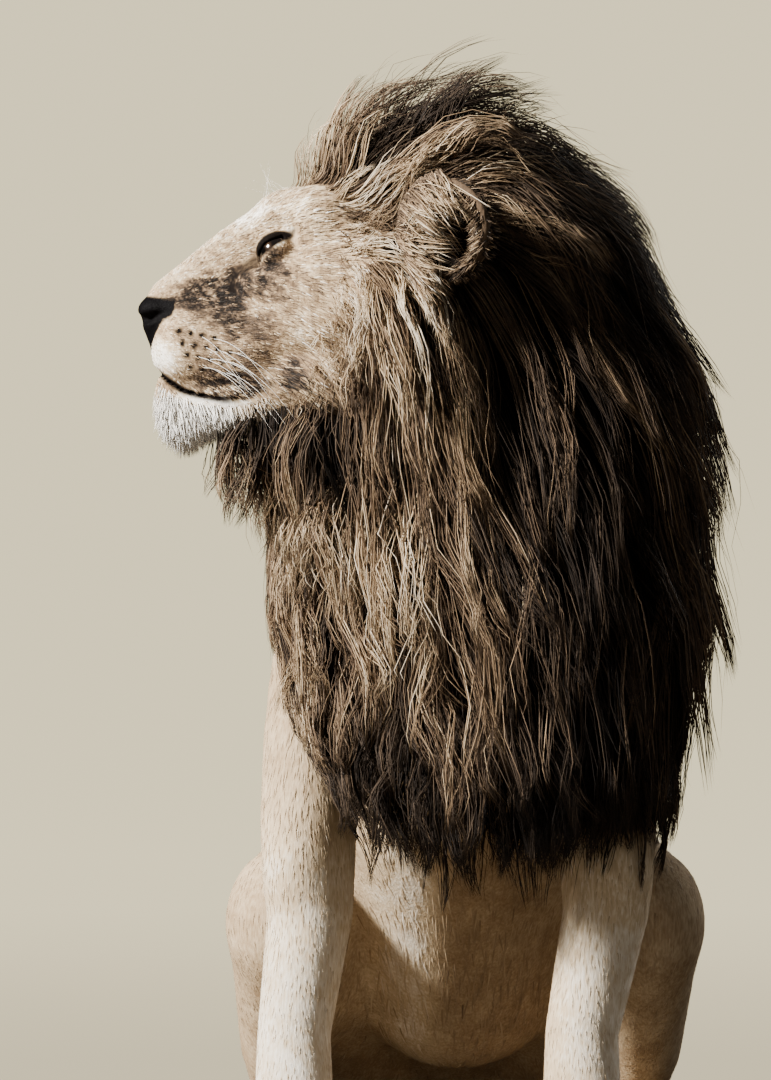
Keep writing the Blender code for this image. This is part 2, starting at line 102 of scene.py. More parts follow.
@dataclass(frozen=True)
class Muscle:
    """A chain of balls, each swept into the next.

    Args:
        balls: the balls in order.
        blend: how softly the chain joins the flesh before it.
    """

    balls: tuple
    blend: float = 0.02

    def distance(self, points: Array) -> Array:
        """Distance of points from the chain's surface.

        Args:
            points: positions, one row each.

        Returns:
            One distance for each row, negative inside.
        """
        best = np.full(len(points), FAR)
        pairs = list(zip(self.balls, self.balls[1:])) or [(self.balls[0], self.balls[0])]
        for first, second in pairs:
            start, reach = np.array(first.centre), np.subtract(second.centre, first.centre)
            length2 = float(reach @ reach)
            offset = points - start
            share = np.clip(offset @ reach / length2, 0, 1) if length2 else np.zeros(len(points))
            radii = np.array(first.radii) + share[:, None] * np.subtract(second.radii, first.radii)
            scaled = (offset - share[:, None] * reach) / radii
            near = np.sqrt((scaled**2).sum(1)) + TINY
            slope = np.sqrt(((scaled / radii) ** 2).sum(1)) + TINY
            best = np.minimum(best, near * (near - 1) / slope)
        return best

    def box(self) -> tuple:
        """Lowest and highest corner of the chain."""
        sides = [(np.subtract(b.centre, b.radii), np.add(b.centre, b.radii)) for b in self.balls]
        return np.min(sides, axis=(0, 1)), np.max(sides, axis=(0, 1))


def soft_min(first: Array, second: Array, blend: float) -> Array:
    """The smaller of two distances, rounded where they meet."""
    share = np.clip(0.5 + 0.5 * (second - first) / blend, 0, 1)
    return second + (first - second) * share - blend * share * (1 - share)


def soft_cut(body: Array, tool: Array, blend: float) -> Array:
    """A body less a tool, rounded along the cut."""
    return -soft_min(-body, tool, blend)


def step_up(low: float, high: float, value: Array) -> Array:
    """Rises smoothly from 0 at low to 1 at high."""
    share = np.clip((value - low) / (high - low), 0, 1)
    return share * share * (3 - 2 * share)


def unit(vectors: Array) -> Array:
    """Rows scaled to length one."""
    return vectors / (np.linalg.norm(vectors, axis=-1, keepdims=True) + TINY)


def rotated(first: Array, second: Array, angle: float) -> tuple:
    """Two coordinates turned by an angle in their plane."""
    cosine, sine = math.cos(angle), math.sin(angle)
    return first * cosine - second * sine, first * sine + second * cosine


def mottle(points: Array, size: float) -> Array:
    """Irregular soft variation between -1 and 1, in patches of about a size.

    Args:
        points: positions, one row each.
        size: how far across one patch is.

    Returns:
        A number for each position.
    """
    place = points / size
    first = np.sin(place @ [1.7, 0.6, -1.1] + 2 * np.sin(place @ [-0.5, 1.3, 0.7]))
    second = np.sin(place @ [-0.8, 1.9, 0.9] + 2 * np.sin(place @ [1.1, -0.4, 1.5] + 1.3))
    third = np.sin(place @ [0.9, 0.4, 1.9] + 2 * np.sin(place @ [0.3, 0.8, -1.2] + 0.7))
    return (first + second + third) / 3


def line_distance(points: Array, path: list) -> Array:
    """Distance of points from a path of straight pieces, in two or three dimensions.

    Args:
        points: positions, one row each.
        path: the path's corners.

    Returns:
        One distance for each position, never negative.
    """
    best = np.full(len(points), FAR)
    for start, end in zip(path, path[1:]):
        start, reach = np.array(start), np.subtract(end, start)
        share = np.clip((points - start) @ reach / (reach @ reach), 0, 1)
        best = np.minimum(best, np.linalg.norm(points - start - share[:, None] * reach, axis=1))
    return best


def rise(height: Callable[[Array], Array], points: Array, half: float) -> Array:
    """Directions in which a height rises fastest.

    Args:
        height: gives a height for each position.
        points: positions, one row each.
        half: how far to each side the height is taken.

    Returns:
        Directions of length one.
    """
    steps = np.eye(3) * half
    return unit(np.stack([height(points + step) - height(points - step) for step in steps], 1))


class Lattice:
    """Distances kept on a regular grid, read back at any point."""

    def __init__(self, low: Array, high: Array, step: float, muscles: list, reach: float):
        """Fills the grid from muscles.

        Args:
            low: the grid's lowest corner.
            high: its highest corner.
            step: distance between two grid points.
            muscles: what to join, in order.
            reach: how far from its muscle a distance is worked out.
        """
        self.low, self.step = np.array(low, float), step
        counts = np.ceil((np.array(high) - self.low) / step).astype(int) + 1
        self.values = np.full(counts, FAR)
        for muscle in muscles:
            bottom, top = muscle.box()
            first = np.clip(np.floor((bottom - reach - self.low) / step).astype(int), 0, counts)
            last = np.clip(np.ceil((top + reach - self.low) / step).astype(int) + 1, 0, counts)
            if np.any(last <= first):
                continue
            part = tuple(slice(a, b) for a, b in zip(first, last))
            axes = [self.low[i] + step * np.arange(first[i], last[i]) for i in range(3)]
            points = np.stack(np.meshgrid(*axes, indexing="ij"), -1).reshape(-1, 3)
            made = muscle.distance(points).reshape(self.values[part].shape)
            self.values[part] = soft_min(self.values[part], made, muscle.blend)

    def points(self, chosen: Array) -> Array:
        """Positions of the grid points that a mask chooses."""
        return self.low + np.argwhere(chosen) * self.step

    def refine(self, change: Callable[[Array, Array], Array], band: float) -> None:
        """Applies a change of distance to the grid points near the surface."""
        chosen = np.abs(self.values) < band
        self.values[chosen] = change(self.points(chosen), self.values[chosen])

    def at(self, points: Array) -> Array:
        """Distances at points, blended from the eight grid points around each.

        Args:
            points: positions, one row each.

        Returns:
            One distance for each position.
        """
        place = (points - self.low) / self.step
        last = np.array(self.values.shape) - 1.001
        outside = np.any((place < 0) | (place > last), axis=1)
        place = np.clip(place, 0, last)
        base = place.astype(int)
        share = place - base
        total = np.zeros(len(points))
        for corner in np.ndindex(2, 2, 2):
            weight = np.prod(np.where(corner, share, 1 - share), axis=1)
            total += weight * self.values[tuple((base + corner).T)]
        total[outside] = FAR
        return total

    def slope(self, points: Array) -> Array:
        """Outward directions at points."""
        return rise(self.at, points, self.step * 0.5)

    def net(self) -> tuple:
        """The closed surface where the distance is zero.

        Returns:
            Corner positions and four-cornered faces.
        """
        inside = self.values < 0
        size = np.array(inside.shape)
        corners = [np.array(c) for c in np.ndindex(2, 2, 2)]
        count = sum(
            inside[tuple(slice(c[i], size[i] - 1 + c[i]) for i in range(3))].astype(np.int8)
            for c in corners
        )
        cells = np.argwhere((count > 0) & (count < 8))
        index = np.full(size - 1, -1)
        index[tuple(cells.T)] = np.arange(len(cells))
        total, hits = np.zeros((len(cells), 3)), np.zeros(len(cells))
        for a in corners:
            for b in corners:
                if (b - a).sum() != 1 or (b - a).min() < 0:
                    continue
                first = self.values[tuple((cells + a).T)]
                second = self.values[tuple((cells + b).T)]
                crossed = (first < 0) != (second < 0)
                share = np.where(crossed, first / np.where(crossed, first - second, 1), 0)
                total += crossed[:, None] * (a + share[:, None] * (b - a))
                hits += crossed
        places = self.low + (cells + total / hits[:, None]) * self.step
        faces = []
        for axis in range(3):
            u, v = (axis + 1) % 3, (axis + 2) % 3
            first = inside[tuple(slice(0, size[i] - (i == axis)) for i in range(3))]
            second = inside[tuple(slice(int(i == axis), size[i]) for i in range(3))]
            edges = np.argwhere(first != second)
            edges = edges[
                np.all((edges >= [i != axis for i in range(3)]) & (edges < size - 1), axis=1)
            ]
            filled = first[tuple(edges.T)]
            back_u, back_v = np.eye(3, dtype=int)[u], np.eye(3, dtype=int)[v]
            ring = [edges, edges - back_u, edges - back_u - back_v, edges - back_v]
            quads = np.stack([index[tuple(cell.T)] for cell in ring], 1)
            quads[~filled] = quads[~filled][:, ::-1]
            faces.append(quads)
        return places, np.concatenate(faces)


# ---- the lion's build ---------------------------------------------------------------------------


def chain(*balls: tuple, blend: float = 0.02) -> Muscle:
    """A muscle from balls, each given by its centre and then its radii."""
    return Muscle(tuple(Ball(ball[:3], ball[3:]) for ball in balls), blend)


def mirrored(muscle: Muscle, axis: int) -> Muscle:
    """The same muscle seen in a mirror.

    Args:
        muscle: what to mirror.
        axis: which axis the mirror is square to.

    Returns:
        The new muscle.
    """
    signs = [-1 if place == axis else 1 for place in range(3)]
    balls = [Ball(tuple(np.multiply(ball.centre, signs)), ball.radii) for ball in muscle.balls]
    return Muscle(tuple(balls), muscle.blend)


def both_sides(right: float, left: float) -> dict:
    """A dataclass field with a size for each side."""
    return field(default_factory=lambda: {Side.RIGHT: right, Side.LEFT: left})


# Each row: how softly a muscle joins, and its balls, each a centre and three radii.
TRUNK = (
    (0.03, (0, 0.05, 0.62, 0.15, 0.145, 0.18), (0, 0.165, 0.65, 0.18, 0.165, 0.215)),
    (0.03, (0, 0.165, 0.65, 0.18, 0.165, 0.215), (0, 0.32, 0.51, 0.182, 0.185, 0.205)),
    (0.03, (0, 0.32, 0.51, 0.182, 0.185, 0.205), (0, 0.465, 0.39, 0.158, 0.17, 0.182),
     (0, 0.585, 0.265, 0.153, 0.15, 0.176), (0, 0.64, 0.15, 0.128, 0.106, 0.1455)),
    (0.06, (0, 0.225, 0.815, 0.085, 0.075, 0.075), (0, 0.43, 0.648, 0.08, 0.07, 0.066),
     (0, 0.625, 0.412, 0.076, 0.06, 0.06), (0, 0.7, 0.22, 0.06, 0.052, 0.07)),
    (0.05, (0, 0.26, 0.41, 0.13, 0.12, 0.118), (0, 0.42, 0.235, 0.113, 0.128, 0.11)),
    (0.05, (0, 0.13, 0.74, 0.15, 0.15, 0.15), (0.02, -0.02, 0.87, 0.112, 0.125, 0.12),
     (-0.005, -0.065, 0.94, 0.092, 0.1, 0.092)),
)


@dataclass
class Body:
    """Trunk, legs and tail under the coat."""

    paw_x: dict = both_sides(-0.17, 0.11)
    wrist_x: dict = both_sides(-0.166, 0.122)
    forearm_x: dict = both_sides(-0.15, 0.146)
    elbow_x: dict = both_sides(-0.138, 0.148)
    knee_out: dict = both_sides(0.0, 0.014)
    fore_toes: tuple = (-0.104, 0.0235, 1.06)
    hind_toes: tuple = (0.148, 0.0225, 1.0)
    hind_paw_x: float = 0.19
    toe_gap: float = 0.0285
    toes_across: tuple = (-1.5, -0.5, 0.5, 1.5)
    toe_setback: float = 0.011

    def trunk(self) -> list:
        """Chest, belly, rump, back and neck."""
        return [chain(*balls, blend=blend) for blend, *balls in TRUNK]

    def foreleg(self, side: Side) -> list:
        """Shoulder, forearm and paw of one foreleg.

        Args:
            side: which side.

        Returns:
            The muscles.
        """
        sign, elbow, forearm = side.value, self.elbow_x[side], self.forearm_x[side]
        wrist, paw = self.wrist_x[side], self.paw_x[side]
        bones = chain(
            (sign * 0.116, 0.06, 0.66, 0.056, 0.074, 0.09),
            (elbow, 0.066, 0.52, 0.055, 0.068, 0.074), (forearm, 0.03, 0.4, 0.047, 0.052, 0.06),
            (forearm, 0.016, 0.31, 0.0425, 0.045, 0.049),
            (wrist, -0.004, 0.19, 0.0365, 0.0355, 0.04),
            (wrist, -0.016, 0.12, 0.0395, 0.035, 0.036), (paw, -0.04, 0.052, 0.047, 0.042, 0.044),
            blend=0.02
        )
        extensor = chain(
            (elbow + sign * 0.02, 0.03, 0.48, 0.03, 0.032, 0.05),
            (forearm + sign * 0.016, 0.0, 0.36, 0.026, 0.03, 0.05), blend=0.025
        )
        flexor = chain(
            (elbow, 0.105, 0.5, 0.026, 0.03, 0.044),
            (forearm - sign * 0.006, 0.052, 0.33, 0.024, 0.022, 0.05), blend=0.03
        )
        pisiform = chain((wrist, 0.024, 0.15, 0.015, 0.014, 0.022), blend=0.012)
        return [bones, extensor, flexor, pisiform, *self.toes(paw, *self.fore_toes)]

    def hindleg(self, side: Side) -> list:
        """Folded thigh, shank and long foot of one hind leg.

        Args:
            side: which side.

        Returns:
            The muscles.
        """
        lean = self.knee_out[side]
        left = [
            chain(
                (0.121, 0.58, 0.235, 0.104, 0.142, 0.162),
                (0.145 + lean, 0.41, 0.27, 0.077, 0.127, 0.117),
                (0.18 + lean, 0.255, 0.292, 0.056, 0.064, 0.069), blend=0.03
            ),
            chain(
                (0.121, 0.58, 0.235, 0.104, 0.142, 0.162), (0.121, 0.6, 0.113, 0.09, 0.108, 0.1085),
                blend=0.02
            ),
            chain(
                (0.18 + lean, 0.245, 0.275, 0.053, 0.056, 0.064),
                (0.18 + lean / 2, 0.37, 0.165, 0.045, 0.072, 0.066),
                (0.17, 0.51, 0.066, 0.032, 0.044, 0.054), blend=0.015
            ),
            chain(
                (0.17, 0.515, 0.047, 0.03, 0.04, 0.0435), (0.181, 0.33, 0.042, 0.035, 0.052, 0.038),
                (0.19, 0.205, 0.043, 0.043, 0.043, 0.0385), blend=0.012
            ),
            *self.toes(self.hind_paw_x, *self.hind_toes)
        ]
        return left if side is Side.LEFT else [mirrored(muscle, 0) for muscle in left]

    def toes(self, middle_x: float, front: float, radius: float, size: float) -> list:
        """Four toes side by side, the middle two the longer.

        Args:
            middle_x: the paw's place across.
            front: the longest toe's place lengthwise.
            radius: a toe's radius.
            size: how far apart the toes are, as a share of their gap.

        Returns:
            The muscles.
        """
        made = []
        for place in self.toes_across:
            x = middle_x + place * self.toe_gap * size
            tip = front + abs(place) * self.toe_setback
            made.append(
                chain(
                    (x, tip + 0.052, radius * 2.05, radius * 0.8, radius, radius * 0.9),
                    (x, tip + 0.02, radius * 1.55, radius * 0.84, radius, radius * 0.98),
                    (x, tip, radius * 1.05, radius * 0.8, radius * 1.02, radius * 0.92), blend=0.005
                )
            )
        return made

    def tail_path(self) -> Array:
        """Points along the tail from its root round the left haunch.

        Returns:
            Positions from root to tip.
        """
        steps = 9
        points = [(0.0, 0.705, 0.18), (0.002, 0.755, 0.132), (0.01, 0.81, 0.078)]
        for step in range(steps):
            done = step / (steps - 1)
            angle = math.radians(142 - 154 * done)
            points.append(
                (0.15 + math.cos(angle) * 0.15, 0.78 + math.sin(angle) * 0.15, 0.028 - 0.006 * done)
            )
        points += [(0.3, 0.65, 0.022), (0.292, 0.56, 0.022), (0.289, 0.5, 0.026)]
        return np.array(points)

    def tail(self) -> Muscle:
        """The tail's flesh.

        Returns:
            The muscle.
        """
        path = self.tail_path()
        balls = []
        for index, point in enumerate(path):
            radius = 0.032 - 0.016 * index / (len(path) - 1)
            balls.append((*point, radius, radius, min(radius, point[2] - FLOOR)))
        return chain(*balls, blend=0.02)

    def muscles(self) -> list:
        """Everything, in the order in which it is joined.

        Returns:
            The muscles.
        """
        made = self.trunk()
        for side in Side:
            made += self.foreleg(side) + self.hindleg(side)
        return [*made, self.tail()]


# As the trunk, in the head frame. What stands off the middle is given on the left.
SKULL = (
    (0.01, (0.01, 0, 0.005, 0.086, 0.086, 0.088), (0.11, 0, 0.026, 0.062, 0.068, 0.055)),
    (0.03, (0.055, 0.06, -0.035, 0.07, 0.05, 0.066), (0.13, 0.046, -0.034, 0.048, 0.03, 0.044)),
    (0.018, (0.152, 0.026, 0.044, 0.03, 0.026, 0.026), (0.12, 0.046, 0.048, 0.034, 0.024, 0.028)),
    (0.018, (0.158, 0.016, 0.026, 0.04, 0.026, 0.04), (0.205, 0.014, 0.0, 0.034, 0.021, 0.036),
     (0.268, 0.011, -0.041, 0.027, 0.019, 0.027)),
    (0.025, (0.12, 0.03, -0.055, 0.06, 0.05, 0.052), (0.19, 0.018, -0.058, 0.05, 0.036, 0.048),
     (0.24, 0.014, -0.07, 0.038, 0.03, 0.04)),
    (0.01, (0.2475, 0.027, -0.085, 0.041, 0.031, 0.0385),
     (0.198, 0.036, -0.096, 0.044, 0.029, 0.034)),
    (0.01, (0.264, 0.014, -0.09, 0.0265, 0.022, 0.027), (0.24, 0.024, -0.098, 0.026, 0.024, 0.026)),
    (0.018, (0.166, 0.046, -0.02, 0.034, 0.02, 0.02), (0.12, 0.064, -0.016, 0.04, 0.022, 0.026)),
    (0.012, (0.06, 0.04, -0.105, 0.06, 0.05, 0.06), (0.15, 0.032, -0.122, 0.05, 0.034, 0.034),
     (0.215, 0.022, -0.133, 0.04, 0.026, 0.026)),
    (0.014, (0.215, 0.018, -0.134, 0.04, 0.026, 0.026),
     (0.2605, 0.008, -0.133, 0.026, 0.027, 0.03)),
    (0.005, (0.29, 0.013, -0.049, 0.015, 0.017, 0.0125),
     (0.273, 0.024, -0.053, 0.014, 0.011, 0.0115)),
    (0.006, (0.288, 0.012, -0.046, 0.014, 0.019, 0.012),
     (0.287, 0.008, -0.062, 0.014, 0.015, 0.012), (0.281, 0.002, -0.088, 0.01, 0.007, 0.01)),
    (0.012, (-0.012, 0.084, 0.028, 0.036, 0.03, 0.04), (-0.014, 0.112, 0.032, 0.036, 0.018, 0.04)),
)


@dataclass
class Head:
    """The head under its coat, in the head frame: x ahead, y to the lion's left, z up.

    The field is built for the left half, and points of the right half are mirrored into it.
    """

    origin: tuple = (-0.015, -0.075, 0.961)
    yaw: float = math.radians(-93.0)
    eye: tuple = (0.165, 0.05, 0.011)
    between_eyes: tuple = (0.165, 0.0, 0.0125)
    eye_radius: float = 0.0175
    eye_out: tuple = (0.42, 0.87, 0.26)
    eye_slant: float = math.radians(31)
    slit_reach: float = 0.0168
    lip_line: tuple = (
        (0.3, -0.103), (0.287, -0.107), (0.275, -0.117), (0.259, -0.127), (0.245, -0.131),
        (0.215, -0.136), (0.195, -0.134), (0.178, -0.126), (0.166, -0.118)
    )
    ear_place: tuple = (-0.012, 0.126, 0.033)
    ear_turn: float = math.radians(-24.0)

    def matrix(self) -> Matrix:
        """Head frame to stance frame."""
        return Matrix.Translation(self.origin) @ Matrix.Rotation(self.yaw - math.pi / 2, 4, "Z")

    def to_stance(self, points: Array) -> Array:
        """Points of the head frame in the stance frame."""
        matrix = np.array(self.matrix())
        return points @ matrix[:3, :3].T + matrix[:3, 3]

    def to_head(self, points: Array) -> Array:
        """Points of the stance frame in the head frame."""
        matrix = np.array(self.matrix())
        return (points - matrix[:3, 3]) @ matrix[:3, :3]

    def turned(self, ways: Array) -> Array:
        """Directions of the head frame in the stance frame."""
        return ways @ np.array(self.matrix())[:3, :3].T

    def half(self, points: Array) -> Array:
        """Points of the stance frame in the head frame, mirrored into the left half."""
        return self.halved(self.to_head(points))

    def muscles(self) -> list:
        """Skull, bridge, muzzle, cheeks and jaw, of which the left half is built."""
        return [chain(*balls, blend=blend) for blend, *balls in SKULL]

    def ear_points(self, half: Array) -> Array:
        """Points of the left half in the ear's own frame, whose cup opens along +y."""
        offset = half - np.array(self.ear_place)
        return np.stack([*rotated(offset[:, 0], offset[:, 1], -self.ear_turn), offset[:, 2]], 1)

    def halved(self, points: Array) -> Array:
        """Points mirrored into the left half."""
        return points * [1, 0, 1] + np.abs(points) * [0, 1, 0]

    def carve(self, points: Array, distance: Array) -> Array:
        """Works ears, eyes, nostrils and mouth into the field.

        Args:
            points: positions in the head frame.
            distance: the joined muscles' distance there.

        Returns:
            The finished distance.
        """
        half = self.halved(points)
        ear = self.ear_points(half)
        cup = chain(
            (0, -0.006, -0.003, 0.04, 0.025, 0.044), (0, 0.013, 0.0, 0.0475, 0.008, 0.0505)
        ).distance(ear)
        bowl = chain((0.002, 0.028, -0.002, 0.043, 0.034, 0.046)).distance(ear)
        distance = soft_min(distance, cup, 0.01)
        distance = soft_cut(distance, bowl, 0.004)
        distance = self.carve_eye(half, distance)
        closed = step_up(0.25, 0.225, half[:, 0])
        seam = line_distance(half[:, [0, 2]], list(self.lip_line)) - 0.0009 + 0.0007 * closed
        depth = 0.009 - closed * 0.0065
        groove = np.maximum(seam, -distance - depth)
        distance = soft_cut(distance, groove, 0.0045)
        cleft = np.maximum(
            line_distance(half[:, [0, 2]], [(0.3, -0.08), (0.294, -0.106)]) - 0.014,
            half[:, 1] - 0.0006
        )
        distance = soft_cut(distance, np.maximum(cleft, -distance - 0.003), 0.003)
        nostril = chain(
            (0.304, 0.012, -0.057, 0.006, 0.006, 0.0055),
            (0.292, 0.029, -0.055, 0.008, 0.005, 0.004),
            (0.278, 0.037, -0.049, 0.007, 0.004, 0.0025)
        ).distance(half)
        return soft_cut(distance, nostril, 0.003)

    def eye_points(self, half: Array) -> tuple:
        """Points about the left eye: along its slit to the nose, across it upwards, and outwards.

        Args:
            half: positions in the head frame, mirrored to the left.

        Returns:
            Three coordinates for each position.
        """
        offset = half - np.array(self.eye)
        out = unit(np.array([self.eye_out]))[0]
        along = np.array([math.cos(self.eye_slant), 0, -math.sin(self.eye_slant)])
        along = unit((along - out * (along @ out))[None])[0]
        up = np.cross(out, along)
        up = up if up[2] > 0 else -up
        return offset @ along, offset @ up, offset @ out

    def carve_eye(self, half: Array, distance: Array) -> Array:
        """Socket, lids and the narrow opening between them.

        Args:
            half: positions in the head frame, mirrored to the left.
            distance: the head's distance there.

        Returns:
            The distance with the eye.
        """
        along, up, out = self.eye_points(half)
        radial = np.sqrt(along**2 + up**2 + out**2)
        socket = (
            np.sqrt((along / 1.35) ** 2 + ((up - 0.009) * 1.15) ** 2 + (out - 0.014) ** 2) - 0.0195
        )
        distance = soft_cut(distance, socket, 0.012)
        lids = (
            np.sqrt(radial**2 + 0.35 * np.minimum(up + 0.004, 0) ** 2) - (self.eye_radius + 0.0032)
        )
        distance = soft_min(distance, lids, 0.006)
        gap = 0.0037 * np.sqrt(np.clip(1 - (along / self.slit_reach) ** 2, 0, 1))
        slit = np.abs(up - 0.001 + along * 0.05) - gap
        slit = np.maximum(slit, np.abs(along) - self.slit_reach)
        opening = np.maximum(np.maximum(slit, self.eye_radius - 0.004 - radial), -out)
        corner = (
            line_distance(np.stack([along, up], 1), [(0.0165, -0.0005), (0.0245, -0.003)]) - 0.0014
        )
        corner = np.maximum(corner, -distance - 0.003)
        distance = soft_cut(distance, corner, 0.003)
        return soft_cut(distance, opening, 0.0018)


# ---- markings, with painted light and shade -----------------------------------------------------


@dataclass
class MarkingsLightAndShade:
    """Tone, marks and some painted light and shade of the short coat, the same for skin and hair.

    tone runs from 0, black, through 0.5, tawny, to 1, white.
    """

    head: Head
    cheek_marks: tuple = (
        ((0.206, -0.02), (0.019, 0.018), 30, 0.4), ((0.21, -0.041), (0.018, 0.024), 0, 0.36),
        ((0.207, -0.066), (0.009, 0.012), 0, 0.5), ((0.232, -0.028), (0.026, 0.019), 30, 0.36),
        ((0.254, -0.032), (0.026, 0.014), 20, 0.32), ((0.232, -0.052), (0.02, 0.013), 0, 0.22),
        ((0.151, -0.11), (0.014, 0.018), 0, 0.54), ((0.21, -0.123), (0.036, 0.014), 0, 0.66),
        ((0.222, -0.11), (0.026, 0.01), 0, 0.26), ((0.168, -0.014), (0.025, 0.027), 0, 0.34),
        ((0.18, -0.066), (0.022, 0.018), 0, 0.2), ((0.19, -0.094), (0.02, 0.014), 0, 0.16)
    )

    def face(self, half: Array) -> tuple:
        """Tone, dark lines and painted brow shade of the head.

        Args:
            half: positions in the head frame, mirrored to the left.

        Returns:
            Tone, how far dark lines and painted brow shade show, and how far bare nose leather
            shows.
        """
        x, y, z = half.T
        tone, dark = self.eye_lines(half, self.cheeks(half))
        lips = self.side_line(half, self.head.lip_line) - 0.0024
        lips = step_up(0.0036, -0.0005, lips + step_up(0.27, 0.29, x) * 0.001)
        dark = np.maximum(dark, lips * (1 - 0.45 * step_up(0.22, 0.19, x)))
        top = step_up(-0.0305, -0.034, z + (0.306 - x) * 0.1)
        behind_edge = step_up(-0.0012, 0.0012, x - 0.266 - np.maximum(-0.045 - z, 0) * 0.5)
        wide = step_up(0.0015, -0.0015, y - 0.041 + np.maximum(-0.05 - z, 0) * 0.62)
        nose = top * behind_edge * wide * step_up(-0.097, -0.093, z)
        for spot in self.whisker_spots():
            away = np.hypot(x - spot[0], z - spot[1])
            dark = np.maximum(dark, step_up(0.0046, 0.0026, away) * (y > 0.015))
        return np.clip(self.ears(half, tone), 0, 1), dark, nose

    def side_line(self, half: Array, path: tuple) -> Array:
        """Distance from a line drawn in side view, as x and z."""
        return line_distance(half[:, [0, 2]], list(path))

    def cheeks(self, half: Array) -> Array:
        """Tone of bridge, brow, cheeks and chin, with their blots and flecks.

        Args:
            half: positions in the head frame, mirrored to the left.

        Returns:
            The tone.
        """
        x, y, z = half.T
        tone = np.full(len(half), 0.63)
        bridge = step_up(0.034, 0.014, y) * step_up(0.13, 0.18, x) * step_up(-0.05, -0.01, z)
        tone += 0.14 * bridge
        tone += 0.1 * step_up(0.1, 0.15, x) * step_up(0.02, 0.06, z)
        aside = step_up(0.01, 0.024, y)
        tone += self.blot(half, (0.192, 0.045), (0.02, 0.013), 35, 0.2)
        tone += self.blot(half, (0.147, 0.038), (0.016, 0.007), 20, 0.1)
        marks = np.zeros(len(half))
        for mark in self.cheek_marks:
            marks += self.blot(half, *mark) * aside
        fleck = 0.95 + 1.25 * mottle(half, 0.0021) + 1.15 * mottle(half, 0.0056)
        tone -= marks * np.clip(fleck, 0.05, 2.0)
        tone += self.blot(half, (0.138, -0.062), (0.018, 0.022), 0, 0.08)
        tone += self.blot(half, (0.284, -0.094), (0.022, 0.02), 0, 0.34)
        lip = step_up(-0.02, -0.05, z) * step_up(0.15, 0.18, x) * step_up(0.265, 0.245, x)
        tone -= 0.05 * aside * lip
        scar = self.side_line(half, ((0.182, -0.008), (0.184, -0.02), (0.177, -0.034)))
        tone -= 0.26 * step_up(0.0032, 0.001, scar) * aside
        uneven = 0.14 * mottle(half, 0.0028) + 0.12 * mottle(half, 0.008)
        tone += uneven * step_up(0.3, 0.27, x)
        chin = step_up(-0.119, -0.136, z - 0.2 * (0.245 - x))
        return tone + 0.48 * chin * step_up(0.165, 0.215, x)

    def eye_lines(self, half: Array, tone: Array) -> tuple:
        """Draws the lines, the painted shade under the brow, the pouch and the pale lid about the
        eye.

        Args:
            half: positions in the head frame, mirrored to the left.
            tone: the tone so far, which this changes.

        Returns:
            The tone, and how far dark lines and painted brow shade show.
        """
        along, up, out = self.head.eye_points(half)
        slit = np.stack([along, up], 1)
        near_eye = out > -0.012
        # The liner is the lids' dark rim, widened upward over the eye as painted shade under the
        # brow.
        steep = np.where(up > 0.003, 0.8, 1.1)
        liner_and_brow_shade = np.hypot((along + 0.0035) / 2.6, (up - 0.003) * steep) - 0.008
        dark = step_up(0.0028, -0.001, liner_and_brow_shade) * near_eye
        tear = ((0.184, 0.002), (0.199, -0.007), (0.208, -0.01), (0.211, -0.026))
        tear = self.side_line(half, tear) - 0.0026
        dark = np.maximum(dark, step_up(0.0065, 0.0, tear) * (half[:, 1] > 0.012) * 0.8)
        tail = line_distance(slit, [(-0.016, 0.003), (-0.027, 0.004)]) - 0.0012
        dark = np.maximum(dark, step_up(0.004, 0.0, tail) * near_eye * 0.8)
        pouch = np.hypot(along / 1.9, up + 0.0075) - 0.004
        tone -= 0.3 * step_up(0.004, -0.002, pouch) * near_eye
        lid = line_distance(slit, [(0.017, -0.0062), (0.004, -0.0068), (-0.014, -0.0042)])
        tone += 0.5 * step_up(0.0017, 0.0006, lid) * near_eye
        return tone + self.blot(half, (0.176, 0.034), (0.02, 0.005), 31, 0.12), dark

    def ears(self, half: Array, tone: Array) -> Array:
        """Darkens the ear's bowl with painted shade, darkest deep in its middle, and darkens its
        rim and its back.

        Args:
            half: positions in the head frame, mirrored to the left.
            tone: the tone so far.

        Returns:
            The tone with the ears.
        """
        ear, near = self.head.ear_points(half), half[:, 1] > 0.085
        across = np.hypot(ear[:, 0], ear[:, 2])
        bowl = chain((0.002, 0.028, -0.002, 0.044, 0.035, 0.047))
        # Painted shade inside the ear: the whole bowl dark, darker still towards its deep middle.
        inside = step_up(0.002, -0.003, bowl.distance(ear))
        cavity_shade = step_up(0.054, 0.024, np.hypot(ear[:, 0] - 0.014, ear[:, 2] + 0.016))
        tone = np.where(inside > 0.3, 0.13 - 0.12 * cavity_shade, tone)
        rim = np.hypot(ear[:, 0] / 0.0475, ear[:, 2] / 0.0505) > 0.84
        rim &= (ear[:, 1] > -0.006) & (ear[:, 0] < 0.012) & near & (across < 0.06)
        tone = np.where(rim, np.minimum(tone, 0.34), tone)
        behind = step_up(-0.004, -0.012, ear[:, 1]) * (across < 0.053) * near
        return tone * (1 - behind) + 0.1 * behind

    def blot(self, half: Array, centre: tuple, radii: tuple, turn: float, depth: float) -> Array:
        """A soft mark in side view.

        Args:
            half: positions in the head frame, mirrored to the left.
            centre: the mark's middle, as x and z.
            radii: its half lengths.
            turn: degrees by which its long side falls towards the nose.
            depth: its strength at the middle.

        Returns:
            How much tone it takes or gives at each position.
        """
        along, up = rotated(half[:, 0] - centre[0], half[:, 2] - centre[1], math.radians(turn))
        away = np.hypot(along / radii[0], up / radii[1])
        return depth * step_up(1.35, 0.35, away)

    def whisker_spots(self) -> list:
        """Middles of the spots from which whiskers grow, as x and z.

        Returns:
            A place for each spot.
        """
        spots = []
        for row in range(4):
            for place in range(5 - (row == 0)):
                spots.append(
                    (0.262 - 0.0118 * place - 0.004 * row, -0.068 - 0.0118 * row - 0.0022 * place)
                )
        return spots

